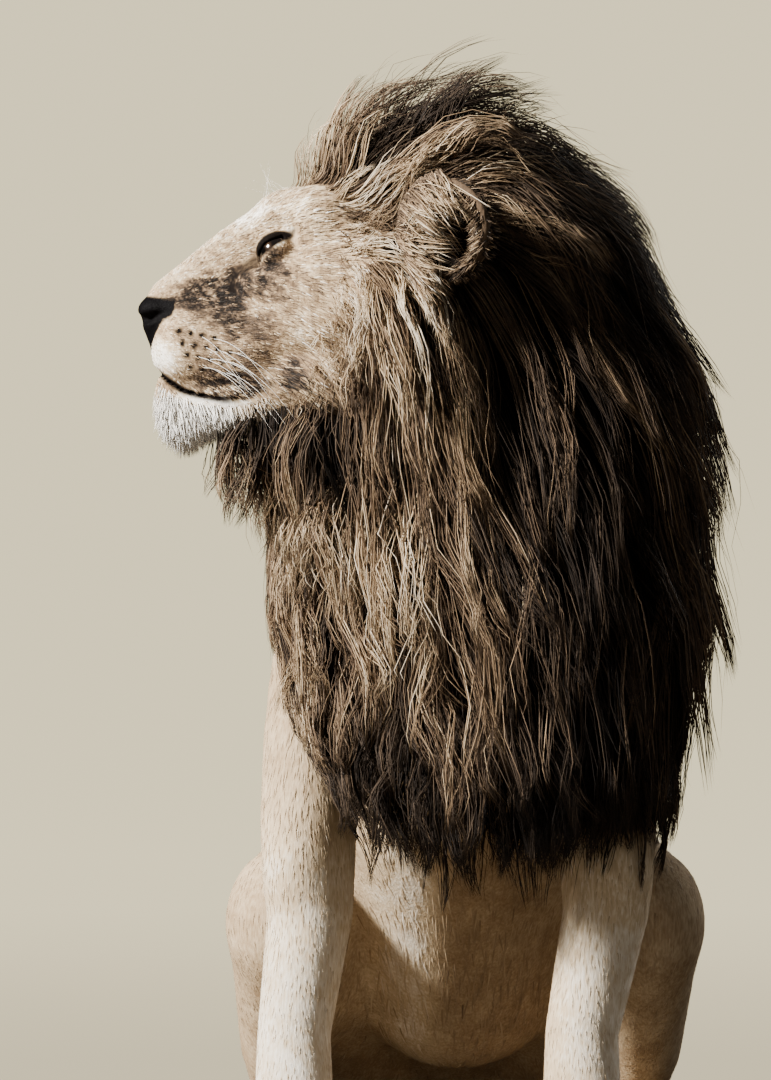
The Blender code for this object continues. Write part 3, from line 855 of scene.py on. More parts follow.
    def body(self, points: Array) -> Array:
        """Tone of trunk, legs and tail, for points of the stance frame, with painted shade and
        sunlight on the belly.

        Args:
            points: positions, one row each.

        Returns:
            The tone.
        """
        x, y, z = points.T
        tone = np.full(len(points), 0.66)
        tone += (
            0.2 * step_up(0.55, 0.2, z) * step_up(0.16, 0.1, y) * step_up(0.06, 0.12, np.abs(x))
        )
        # Belly: a little painted shade all over, and a painted patch of sunlight on its side
        # towards the lion's right.
        belly = step_up(0.13, 0.04, np.abs(x)) * step_up(0.6, 0.45, z) * step_up(0.5, 0.3, y)
        tone -= 0.03 * belly
        tone += 0.22 * belly * step_up(0.0, -0.05, x)
        along_back = step_up(0.1, 0.02, np.abs(x)) * step_up(0.2, 0.4, y) * step_up(0.35, 0.6, z)
        tone -= 0.1 * along_back
        elbow = step_up(0.06, 0.0, np.abs(z - 0.42)) * step_up(0.05, 0.09, y) * step_up(0.2, 0.1, y)
        tone -= 0.1 * elbow
        flank = step_up(0.25, 0.45, y) * step_up(0.06, 0.15, z)
        tone -= 0.05 * flank
        return tone + 0.035 * mottle(points, 0.006) + 0.035 * mottle(points, 0.02)


# ---- meshes -------------------------------------------------------------------------------------


def piece(
    name: str, places: Array, faces: list, values: dict, material: Material, smooth: bool = True
) -> Object:
    """An object with numbers on its corners.

    Args:
        name: the piece's name.
        places: corner positions in the model's frame.
        faces: arrays of faces, one array for each number of corners.
        values: a number for each corner, by name.
        material: its finish.
        smooth: whether faces are shaded as one round surface.

    Returns:
        The linked object.
    """
    mesh = bpy.data.meshes.new(name)
    loops = np.concatenate([part.ravel() for part in faces])
    sizes = np.concatenate([np.full(len(part), part.shape[1]) for part in faces])
    mesh.vertices.add(len(places))
    mesh.vertices.foreach_set("co", places.astype(np.float32).ravel())
    mesh.loops.add(len(loops))
    mesh.loops.foreach_set("vertex_index", loops.astype(np.int32))
    mesh.polygons.add(len(sizes))
    mesh.polygons.foreach_set(
        "loop_start", np.concatenate([[0], np.cumsum(sizes)[:-1]]).astype(np.int32)
    )
    mesh.polygons.foreach_set("use_smooth", np.full(len(sizes), smooth))
    mesh.update(calc_edges=True)
    for key, numbers in values.items():
        kind = "FLOAT" if numbers.ndim == 1 else "FLOAT_VECTOR"
        made = mesh.attributes.new(key, kind, "POINT")
        made.data.foreach_set(
            "value" if numbers.ndim == 1 else "vector", numbers.astype(np.float32).ravel()
        )
    mesh.materials.append(material)
    made = bpy.data.objects.new(name, mesh)
    bpy.context.scene.collection.objects.link(made)
    return made


def settle(made: Object) -> None:
    """Puts a piece on the model's one body and reports it.

    Args:
        made: the piece.
    """
    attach(made, "root")
    LOG.info("%s: %d faces", made.name, len(made.data.polygons))


# ---- finishes -----------------------------------------------------------------------------------


def rgb(*levels: float) -> tuple:
    """A colour from display levels between 0 and 255."""
    share = [level / 255 for level in levels]
    return (
        tuple(s / 12.92 if s <= 0.04045 else ((s + 0.055) / 1.055) ** 2.4 for s in share) + (1.0,)
    )


class Graph:
    """Short ways to add nodes to a node tree."""

    def __init__(self, tree: ShaderNodeTree):
        """Keeps the tree."""
        self.tree = tree

    def add(self, kind: str, settings: dict = None, **inputs: object) -> Node:
        """Adds a node.

        Args:
            kind: the node's type.
            settings: its properties.
            inputs: values or sockets by input name, with _ for a space.

        Returns:
            The node.
        """
        node = self.tree.nodes.new(kind)
        for key, value in (settings or {}).items():
            setattr(node, key, value)
        return self.feed(node, **inputs)

    def feed(self, node: Node, **inputs: object) -> Node:
        """Gives a node's inputs their values or links.

        Args:
            node: the node.
            inputs: values or sockets by input name, with _ for a space, or by i and a number.

        Returns:
            The same node.
        """
        for key, value in inputs.items():
            counted = key[0] == "i" and key[1:].isdigit()
            socket = node.inputs[int(key[1:]) if counted else key.replace("_", " ")]
            if isinstance(value, NodeSocket):
                self.tree.links.new(value, socket)
            else:
                socket.default_value = value
        return node

    def math(self, operation: str, *values: object) -> NodeSocket:
        """The result of a sum on numbers or sockets."""
        inputs = {f"i{index}": value for index, value in enumerate(values)}
        return self.add("ShaderNodeMath", {"operation": operation}, **inputs).outputs[0]

    def vary(self, mask: NodeSocket, depth: float, base: object) -> NodeSocket:
        """A number that a mask around 0.5 takes up and down."""
        return self.math("MULTIPLY_ADD", self.math("SUBTRACT", mask, 0.5), depth, base)

    def read(self, name: str) -> NodeSocket:
        """A number kept on the mesh."""
        return self.add("ShaderNodeAttribute", {"attribute_name": name}).outputs["Fac"]

    def ramp(self, value: object, stops: list) -> NodeSocket:
        """A colour that follows a number through stops of place and colour.

        Args:
            value: a number or socket.
            stops: places between 0 and 1, each with its colour.

        Returns:
            The colour's socket.
        """
        node = self.add("ShaderNodeValToRGB", i0=value)
        elements = node.color_ramp.elements
        while len(elements) < len(stops):
            elements.new(0.5)
        for element, (place, colour) in zip(elements, stops):
            element.position = place
            element.color = colour
        return node.outputs["Color"]

    def mix(self, share: object, first: object, second: object) -> NodeSocket:
        """A colour between two.

        Args:
            share: how much of the second.
            first: a colour or socket.
            second: a colour or socket.

        Returns:
            The colour's socket.
        """
        settings = {"data_type": "RGBA"}
        return self.add("ShaderNodeMix", settings, i0=share, i6=first, i7=second).outputs[2]


COAT_STOPS = [
    (0.0, rgb(27, 23, 20)), (0.1, rgb(46, 38, 32)), (0.25, rgb(74, 62, 51)),
    (0.42, rgb(106, 87, 69)), (0.6, rgb(157, 133, 104)), (0.78, rgb(205, 184, 152)),
    (1.0, rgb(253, 248, 238))
]


def new_material(name: str) -> tuple:
    """An empty material with its shader.

    Args:
        name: the material's name.

    Returns:
        The material, its graph and its Principled BSDF.
    """
    material = bpy.data.materials.new(name)
    material.use_nodes = True
    material.node_tree.nodes.clear()
    graph = Graph(material.node_tree)
    shader = graph.add("ShaderNodeBsdfPrincipled")
    graph.add("ShaderNodeOutputMaterial", Surface=shader.outputs[0])
    return material, graph, shader


def grain_group() -> ShaderNodeTree:
    """The shared effect of fine and coarse unevenness over a coat.

    Returns:
        A group with a Scale input, and Fine and Broad outputs around 0.5.
    """
    group = bpy.data.node_groups.new("coat_grain", "ShaderNodeTree")
    group.interface.new_socket("Scale", in_out="INPUT", socket_type="NodeSocketFloat")
    group.interface.new_socket("Fine", in_out="OUTPUT", socket_type="NodeSocketFloat")
    group.interface.new_socket("Broad", in_out="OUTPUT", socket_type="NodeSocketFloat")
    graph = Graph(group)
    given = graph.add("NodeGroupInput")
    where = graph.add("ShaderNodeTexCoord").outputs["Object"]
    stretched = graph.add("ShaderNodeMapping", Vector=where, Scale=(1.0, 1.0, 0.22)).outputs[0]
    fine = graph.add(
        "ShaderNodeTexNoise", Vector=stretched, Scale=given.outputs["Scale"], Detail=4.0
    ).outputs["Fac"]
    broad_scale = graph.math("MULTIPLY", given.outputs["Scale"], 0.06)
    broad = graph.add(
        "ShaderNodeTexNoise", Vector=where, Scale=broad_scale, Detail=3.0
    ).outputs["Fac"]
    graph.add("NodeGroupOutput", Fine=fine, Broad=broad)
    return group


@dataclass(frozen=True)
class SkinFinish:
    """Short fur over the whole skin, bare nose leather, and dark lines of lips and lids with
    painted shade under the brows.
    """

    roughness: float = 0.85
    leather: float = 0.56
    bump: float = 0.0012

    def material(self, grain: ShaderNodeTree) -> Material:
        """Makes the material.

        Args:
            grain: the shared grain.

        Returns:
            The material.
        """
        material, graph, shader = new_material("skin")
        effect = graph.add("ShaderNodeGroup", {"node_tree": grain}, Scale=420.0)
        tone = graph.vary(effect.outputs["Fine"], 0.3, graph.read("tone"))
        tone = graph.vary(effect.outputs["Broad"], 0.16, tone)
        colour = graph.ramp(tone, COAT_STOPS)
        # dark: lines of lips and lids, and painted shade under the brows.
        colour = graph.mix(graph.read("dark"), colour, rgb(16, 12, 10))
        nose = graph.read("nose")
        colour = graph.mix(nose, colour, rgb(7, 6, 7))
        rough = graph.math("MULTIPLY_ADD", nose, self.leather - self.roughness, self.roughness)
        grains = graph.add("ShaderNodeTexVoronoi", Scale=900.0).outputs["Distance"]
        grains = graph.math("MULTIPLY", grains, nose)
        height = graph.math("MULTIPLY_ADD", grains, 0.6, effect.outputs["Fine"])
        bump = graph.add("ShaderNodeBump", Strength=0.6, Distance=self.bump, Height=height)
        graph.feed(shader, Base_Color=colour, Roughness=rough, Normal=bump.outputs[0])
        graph.feed(shader, Specular_IOR_Level=0.04)
        return material


@dataclass(frozen=True)
class HairFinish:
    """Hair of any length: its tone is kept on the mesh."""

    name: str
    roughness: float
    specular: float
    sheen: float = 0.0

    def material(self, grain: ShaderNodeTree) -> Material:
        """Makes the material.

        Args:
            grain: the shared grain.

        Returns:
            The material.
        """
        material, graph, shader = new_material(self.name)
        effect = graph.add("ShaderNodeGroup", {"node_tree": grain}, Scale=160.0)
        tone = graph.vary(effect.outputs["Fine"], 0.1, graph.read("tone"))
        rough = graph.math("MULTIPLY_ADD", effect.outputs["Fine"], 0.16, self.roughness - 0.08)
        graph.feed(shader, Base_Color=graph.ramp(tone, COAT_STOPS), Roughness=rough)
        graph.feed(shader, Specular_IOR_Level=self.specular)
        graph.feed(shader, Sheen_Weight=self.sheen, Sheen_Roughness=0.6)
        return material


@dataclass(frozen=True)
class EyeFinish:
    """A wet eye with a round pupil, its amber iris darkened as painted shade under the brow. Its
    rings follow the away number on the mesh.
    """

    def material(self) -> Material:
        """Makes the material.

        Returns:
            The material.
        """
        material, graph, shader = new_material("eye")
        noise = graph.add("ShaderNodeTexNoise", Scale=600.0, Detail=3.0).outputs["Fac"]
        place = graph.vary(noise, 0.1, graph.read("away"))
        # Iris stops: amber taken down to deep brown as painted shade under the brow.
        stops = [
            (0.0, rgb(6, 5, 5)), (0.24, rgb(6, 5, 5)), (0.29, rgb(28, 19, 11)),
            (0.5, rgb(50, 33, 18)), (0.64, rgb(26, 18, 12)), (0.7, rgb(12, 9, 8)),
            (1.0, rgb(20, 15, 13))
        ]
        graph.feed(shader, Base_Color=graph.ramp(place, stops), Roughness=0.12)
        graph.feed(shader, Coat_Weight=0.6, Coat_Roughness=0.03)
        return material


@dataclass(frozen=True)
class ClawFinish:
    """Dark horn, finely mottled lighter and darker."""

    roughness: float = 0.35

    def material(self) -> Material:
        """Makes the material.

        Returns:
            The material.
        """
        material, graph, shader = new_material("claw")
        streaks = graph.add("ShaderNodeTexNoise", Scale=300.0, Detail=3.0).outputs["Fac"]
        colour = graph.ramp(streaks, [(0.3, rgb(38, 31, 26)), (0.7, rgb(92, 80, 68))])
        graph.feed(shader, Base_Color=colour, Roughness=self.roughness)
        return material


@dataclass(frozen=True)
class StudioFinish:
    """Plain pale floor and backdrop. Its far parts shine a little, seen from the camera only."""

    colour: tuple = rgb(90, 84, 75)
    glow: tuple = rgb(244, 230, 188)
    shine: float = 1.36

    def material(self) -> Material:
        """Makes the material.

        Returns:
            The material.
        """
        material, graph, shader = new_material("studio")
        graph.feed(shader, Base_Color=self.colour, Roughness=0.9, Specular_IOR_Level=0.1)
        seen = graph.add("ShaderNodeLightPath").outputs["Is Camera Ray"]
        glow = graph.math("MULTIPLY", graph.read("far"), self.shine)
        strength = graph.math("MULTIPLY", seen, glow)
        graph.feed(shader, Emission_Color=self.glow, Emission_Strength=strength)
        return material


# ---- skin ---------------------------------------------------------------------------------------


@dataclass
class Skin:
    """The bare skin of the whole animal."""

    body: Body
    head: Head
    marks: MarkingsLightAndShade
    shift: Array
    body_box: tuple = ((-0.27, -0.15, -0.012), (0.34, 0.96, 1.06))
    head_box: tuple = ((-0.09, -0.19, -0.205), (0.325, 0.19, 0.125))
    body_step: float = 0.0066
    head_step: float = 0.0027
    reach: float = 0.03
    carved: float = 0.022

    def build(self) -> None:
        """Works out both nets in the stance frame."""
        grid = Lattice(*self.body_box, self.body_step, self.body.muscles(), self.reach)
        grid.refine(lambda p, d: np.maximum(d, FLOOR + 0.0005 - p[:, 2]), self.reach)
        self.body_grid = grid
        self.body_net = grid.net()
        muscles = self.head.muscles()
        aside = [muscle for muscle in muscles if any(ball.centre[1] for ball in muscle.balls)]
        both = muscles + [mirrored(muscle, 1) for muscle in aside]
        grid = Lattice(*self.head_box, self.head_step, both, self.reach)
        axes = [grid.low[i] + grid.step * np.arange(grid.values.shape[i]) for i in range(3)]
        x, y, z = axes[0][:, None, None], axes[1][None, :, None], axes[2][None, None, :]
        ears = (x < 0.06) & (np.abs(y) > 0.07) & (z > -0.05)
        chosen = ears | (np.abs(grid.values) < self.carved)
        grid.values[chosen] = self.head.carve(grid.points(chosen), grid.values[chosen])
        places, faces = grid.net()
        self.head_grid = grid
        self.head_places = places
        self.head_net = (self.head.to_stance(places), faces)

    def height(self, points: Array) -> Array:
        """How far points of the stance frame lie above the skin."""
        return np.minimum(self.body_grid.at(points), self.head_grid.at(self.head.to_head(points)))

    def slope(self, points: Array) -> Array:
        """Outward directions at points of the stance frame."""
        return rise(self.height, points, 0.002)

    def dress(self, mane: "Mane", material: Material) -> Object:
        """Makes the object with its markings, darkened where the mane grows, partly to the mane's
        colour and partly as painted shade under it.

        Args:
            mane: the finished mane.
            material: the skin's finish.

        Returns:
            The skin.
        """
        body_places, body_faces = self.body_net
        tone, dark, nose = self.marks.face(self.head.halved(self.head_places))
        empty = np.zeros(len(body_places))
        tone = mane.shade(self.head_net[0], tone)
        values = {
            "tone": np.concatenate([mane.shade(body_places, self.marks.body(body_places)), tone]),
            "dark": np.concatenate([empty, dark]), "nose": np.concatenate([empty, nose])
        }
        places = np.concatenate([body_places, self.head_net[0]]) + self.shift
        faces = np.concatenate([body_faces, self.head_net[1] + len(body_places)])
        return piece("skin", places, [faces], values, material)


class Pores:
    """Even random places on a net, from which hair grows."""

    def __init__(self, places: Array, faces: Array, random: Generator):
        """Measures the net's triangles.

        Args:
            places: corner positions.
            faces: four-cornered faces.
            random: where chance comes from.
        """
        triangles = np.concatenate([faces[:, :3], faces[:, [0, 2, 3]]])
        self.corners, self.random = places[triangles], random
        across = np.cross(
            self.corners[:, 1] - self.corners[:, 0], self.corners[:, 2] - self.corners[:, 0]
        )
        self.areas = np.linalg.norm(across, axis=1) / 2
        self.middles = self.corners.mean(1)

    def draw(self, weights: Array, count: int) -> Array:
        """Draws places, denser where the weights are high.

        Args:
            weights: one for each triangle.
            count: how many places.

        Returns:
            Positions, one row each.
        """
        reach = np.cumsum(self.areas * weights)
        spread = (np.arange(count) + self.random.random(count)) / count * reach[-1]
        chosen = self.corners[np.searchsorted(reach, spread, side="left").clip(0, len(reach) - 1)]
        first, second = np.sqrt(self.random.random(count)), self.random.random(count)
        shares = np.stack([1 - first, first * (1 - second), first * second], 1)
        return (chosen * shares[:, :, None]).sum(1)


@dataclass(frozen=True)
class Lie:
    """How hair lies: directions known at some places and blended between them.

    Args:
        places: where the lie is known.
        values: direction and any further numbers at each place.
        reach: how far one place is felt.
    """

    places: Array
    values: Array
    reach: float

    @classmethod
    def of(cls, rows: tuple, reach: float) -> "Lie":
        """The lie that a table's rows give, each a place and its values."""
        table = np.array(rows, float)
        return cls(table[:, :3], table[:, 3:], reach)

    def at(self, points: Array) -> Array:
        """Blended values at points.

        Args:
            points: positions, one row each.

        Returns:
            A row of values for each position.
        """
        away = ((points[:, None, :] - self.places[None]) ** 2).sum(2)
        away -= away.min(1, keepdims=True)
        weights = np.exp(-away / (2 * self.reach**2))
        return weights @ self.values / weights.sum(1, keepdims=True)


@dataclass(frozen=True)
class HairShape:
    """Shape of a single hair or tuft.

    Args:
        width: half width at the root.
        flat: thickness as a share of the width.
        belly: width at the middle as a share of that at the root.
        tip: width just before the tip as a share of that at the root.
        smooth: whether the hair is shaded as round.
    """

    width: float
    flat: float
    belly: float = 1.0
    tip: float = 0.35
    smooth: bool = True


def hair_piece(
    name: str, paths: Array, normals: Array, widths: Array, shape: HairShape, tones: Array,
    roots: Array, material: Material
) -> Object:
    """Closed three-sided hairs joined in one object.

    Args:
        name: the piece's name.
        paths: points from root to tip, of shape hairs by points by 3, in the model's frame.
        normals: which way is out, for each hair.
        widths: each hair's width as a share of the shape's.
        shape: the form along a hair.
        tones: the tone at each point of a hair.
        roots: each root's place on the unwrap, between 0 and 1.
        material: its finish.

    Returns:
        The object.
    """
    count, rings = paths.shape[0], paths.shape[1] - 1
    along = unit(np.gradient(paths, axis=1))[:, :rings]
    side = unit(np.cross(along, normals[:, None, :]))
    out = np.cross(side, along)
    share = np.arange(rings) / rings
    form = np.interp(share, [0, 0.45, 0.999], [1.0, shape.belly, shape.tip]) * shape.width
    size = (widths[:, None] * form[None])[:, :, None]
    base = paths[:, :rings]
    corners = [(-1.0, -0.5), (1.0, -0.5), (0.0, 1.0)]
    ring = np.stack([base + size * (side * a + out * b * shape.flat) for a, b in corners], 2)
    places = np.concatenate([ring.reshape(count, rings * 3, 3), paths[:, rings:]], 1)
    each = rings * 3 + 1
    quads = []
    for level in range(rings - 1):
        for corner in range(3):
            low, after = level * 3, (corner + 1) % 3
            quads.append([low + corner, low + after, low + 3 + after, low + 3 + corner])
    top = (rings - 1) * 3
    tips = [[top + corner, top + (corner + 1) % 3, rings * 3] for corner in range(3)] + [[2, 1, 0]]
    start = (np.arange(count) * each)[:, None, None]
    faces = [
        (start + np.array(quads)[None]).reshape(-1, 4),
        (start + np.array(tips)[None]).reshape(-1, 3)
    ]
    tone = np.concatenate([np.repeat(tones[:, :rings], 3, 1), tones[:, rings:]], 1)
    made = piece(name, places.reshape(-1, 3), faces, {"tone": tone.ravel()}, material, shape.smooth)
    across = np.tile([-0.5, 0.5, 0.0], rings).tolist() + [0.0]
    up = (np.repeat(np.arange(rings), 3) / rings - 0.5).tolist() + [0.5]
    flat = roots[:, None, :] * (1 - PATCH) + PATCH / 2 + np.stack([across, up], 1)[None] * PATCH
    loops = np.concatenate([part.ravel() for part in faces])
    unwrap = made.data.uv_layers.new(name="OFBake")
    unwrap.data.foreach_set("uv", flat.reshape(-1, 2)[loops].astype(np.float32).ravel())
    return made


def around(points: Array, start: tuple, end: tuple) -> Array:
    """Unwraps points from an axis: the turn about it, and the way along it, both between 0 and 1.

    Args:
        points: positions, one row each.
        start: one end of the axis.
        end: its other end.

    Returns:
        A row of two numbers for each position.
    """
    axis = unit(np.subtract(end, start)[None])[0]
    first = unit(np.cross(axis, [0.31, 0.85, 0.42])[None])[0]
    second = np.cross(axis, first)
    offset = points - np.array(start)
    turn = np.arctan2(offset @ second, offset @ first) / (2 * math.pi) + 0.5
    along = offset @ axis / np.linalg.norm(np.subtract(end, start))
    return np.stack([np.clip(turn, 0, 1), np.clip(along, 0, 1)], 1)


# ---- mane ---------------------------------------------------------------------------------------


# Each row: a place, the mane's direction there, its tone, length and waviness.
MANE_LIE = (
    (-0.16, -0.08, 1.07, 0.66, 0, 0.78, 0.58, 0.13, 0.5),
    (-0.115, -0.1, 1.11, 0.74, 0, 0.66, 0.42, 0.17, 0.7),
    (-0.06, -0.1, 1.135, 0.85, 0, 0.5, 0.08, 0.17, 0.6),
    (0, -0.09, 1.15, 0.92, 0, 0.3, 0.05, 0.2, 0.5),
    (0.06, -0.1, 1.11, 0.88, 0, -0.15, 0.13, 0.2, 0.4),
    (-0.08, -0.17, 1.06, 0.9, -0.1, 0.2, 0.9, 0.12, 0.9),
    (-0.05, -0.18, 1.085, 0.95, 0, 0.05, 0.9, 0.15, 1),
    (-0.01, -0.18, 1.065, 0.93, 0, -0.1, 0.9, 0.16, 0.8),
    (-0.03, -0.12, 1.145, 0.9, 0, 0.2, 0.03, 0.16, 0.6),
    (0, -0.14, 1.14, 0.9, 0, 0.1, 0.02, 0.17, 0.5),
    (-0.02, -0.15, 1.13, 0.9, 0, 0.15, 0, 0.17, 0.5), (0.03, -0.14, 1.125, 0.9, 0, 0, 0, 0.18, 0.4),
    (-0.06, -0.12, 1.135, 0.88, 0, 0.3, 0.04, 0.17, 0.6),
    (-0.04, -0.15, 1.076, 0.95, 0, 0.05, 1, 0.16, 1),
    (0.005, -0.15, 1.06, 0.95, 0, -0.1, 1, 0.16, 0.9),
    (-0.115, -0.18, 1.005, 0.6, -0.1, 0.1, 0.8, 0.07, 0.4),
    (-0.11, -0.2, 0.95, 0.35, -0.2, -0.85, 0.84, 0.1, 0.5),
    (-0.115, -0.2, 0.89, 0.15, -0.1, -0.95, 0.88, 0.15, 0.4),
    (-0.14, -0.19, 0.82, 0.12, -0.1, -0.98, 0.62, 0.13, 0.7),
    (-0.06, -0.22, 0.89, 0.2, -0.1, -0.95, 0.92, 0.17, 0.5),
    (-0.06, -0.22, 0.8, 0.12, 0, -1, 0.92, 0.19, 0.6),
    (0, -0.22, 0.92, 0.4, -0.1, -0.9, 0.5, 0.18, 0.4),
    (0, -0.23, 0.82, 0.2, -0.1, -0.95, 0.12, 0.2, 0.4),
    (0.06, -0.17, 1.02, 0.75, 0, -0.65, 0.3, 0.2, 0.4),
    (0.1, -0.1, 1.05, 0.75, 0.1, -0.65, 0.18, 0.21, 0.3),
    (0.14, -0.1, 0.96, 0.6, 0.1, -0.8, 0.2, 0.22, 0.3),
    (0.08, -0.2, 0.92, 0.5, 0, -0.87, 0.28, 0.23, 0.4),
    (0.18, -0.1, 0.88, 0.45, 0.1, -0.9, 0.25, 0.23, 0.3),
    (0.1, -0.21, 0.8, 0.25, 0, -0.97, 0.15, 0.25, 0.3),
    (0.22, -0.1, 0.77, 0.25, 0.1, -0.97, 0.27, 0.23, 0.3),
    (0.16, -0.2, 0.67, 0.08, 0, -1, 0.15, 0.23, 0.4),
    (0.25, -0.05, 0.66, 0.05, 0.1, -1, 0.28, 0.22, 0.4),
    (0.02, -0.24, 0.72, 0.15, 0, -1, 0.15, 0.22, 0.6),
    (-0.03, -0.24, 0.64, 0.3, 0, -0.95, 0.52, 0.2, 1),
    (0.03, -0.24, 0.55, 0.24, 0, -0.97, 0.46, 0.18, 1),
    (0.09, -0.23, 0.57, 0, 0, -1, 0.09, 0.2, 0.6),
    (0.22, -0.08, 0.52, -0.08, 0, -1, 0.22, 0.18, 0.5),
    (-0.25, -0.09, 0.79, -0.4, 0, -0.92, 0.2, 0.13, 0.8),
    (-0.23, -0.09, 0.73, 0.1, 0, -1, 0.36, 0.13, 0.9),
    (-0.17, -0.14, 0.785, -0.05, 0, -1, 0.18, 0.15, 0.8),
    (-0.22, -0.12, 0.7, 0.15, 0, -0.98, 0.72, 0.16, 1),
    (-0.14, -0.2, 0.68, 0.3, 0, -0.95, 0.7, 0.16, 1),
    (-0.17, -0.16, 0.58, 0.26, 0, -0.96, 0.68, 0.16, 1),
    (-0.09, -0.22, 0.58, 0.32, 0, -0.94, 0.78, 0.16, 1),
    (-0.02, -0.22, 0.5, 0.24, 0, -0.97, 0.52, 0.15, 1),
    (-0.19, -0.1, 0.56, 0.4, 0, -0.92, 0.6, 0.13, 0.8),
    (-0.17, -0.13, 0.48, 0.42, 0, -0.9, 0.34, 0.12, 0.6),
    (-0.13, -0.17, 0.44, 0.2, 0, -0.98, 0.06, 0.13, 0.6),
    (-0.06, -0.2, 0.42, 0.08, 0, -1, 0.02, 0.13, 0.6),
    (0.09, -0.18, 0.42, 0, 0, -1, 0.05, 0.14, 0.6),
    (0.19, -0.08, 0.43, -0.05, 0, -1, 0.16, 0.13, 0.5),
    (0, 0.04, 1.08, 0.7, 0.3, -0.2, 0.4, 0.18, 0.3),
    (0.06, 0.14, 0.97, 0.25, 0.45, -0.85, 0.25, 0.2, 0.3),
    (0.08, 0.2, 0.85, 0.1, 0.3, -0.95, 0.16, 0.2, 0.3),
    (0.02, 0.3, 0.83, 0, 0.6, -0.8, 0.2, 0.13, 0.3),
    (-0.1, 0.06, 0.95, 0.2, 0.25, -0.93, 0.7, 0.14, 0.4),
    (-0.12, 0.06, 0.85, 0.1, 0.1, -1, 0.52, 0.16, 0.4),
    (-0.12, 0.1, 0.75, 0, 0.1, -1, 0.34, 0.2, 0.4),
    (-0.18, 0.02, 0.62, 0.02, 0.05, -1, 0.34, 0.15, 0.6),
    (-0.19, 0.14, 0.8, -0.05, 0.3, -0.95, 0.28, 0.16, 0.4),
    (-0.19, 0.14, 0.68, -0.02, 0.25, -0.96, 0.2, 0.16, 0.5),
    (-0.1, 0.26, 0.8, -0.1, 0.45, -0.88, 0.22, 0.14, 0.4),
    (-0.16, 0.12, 0.55, 0, 0.05, -1, 0.24, 0.11, 0.5),
    (0.2, 0.12, 0.7, 0, 0.15, -1, 0.18, 0.21, 0.3), (0.2, 0.1, 0.5, 0, 0, -1, 0.12, 0.15, 0.4),
    (0, 0.2, 0.75, 0, 0.3, -0.95, 0.18, 0.16, 0.3),
    (-0.1, 0.02, 1.08, 0.75, 0.15, 0.4, 0.6, 0.12, 0.4)
)


@dataclass
class Strands:
    """The mane's hairs while they grow, one row for each hair unless it says otherwise.

    Args:
        roots: where they start.
        out: the outward direction there.
        thick: how thick the mane is there.
        leaders: which hair leads each lock.
        lock: which lock each hair belongs to.
        edge: from 0 in the middle of its lock to 1 at its edge.
        lock_level: how far out each lock lies.
        levels: how far out each hair lies.
        known: direction, tone, length and waviness.
        back: how far it lies on the back of the neck.
        jaw: how far it lies under the jaw.
        own: its finished length.
        paths: its points, root first.
        stray: whether it leaves its lock.
        tone: a tone for each point.
        width: its width as a share of the mane's.
    """

    roots: Array
    out: Array
    thick: Array
    leaders: Array
    lock: Array
    edge: Array
    lock_level: Array
    levels: Array
    known: Array
    back: Array
    jaw: Array
    own: Array = None
    paths: Array = None
    stray: Array = None
    tone: Array = None
    width: Array = None


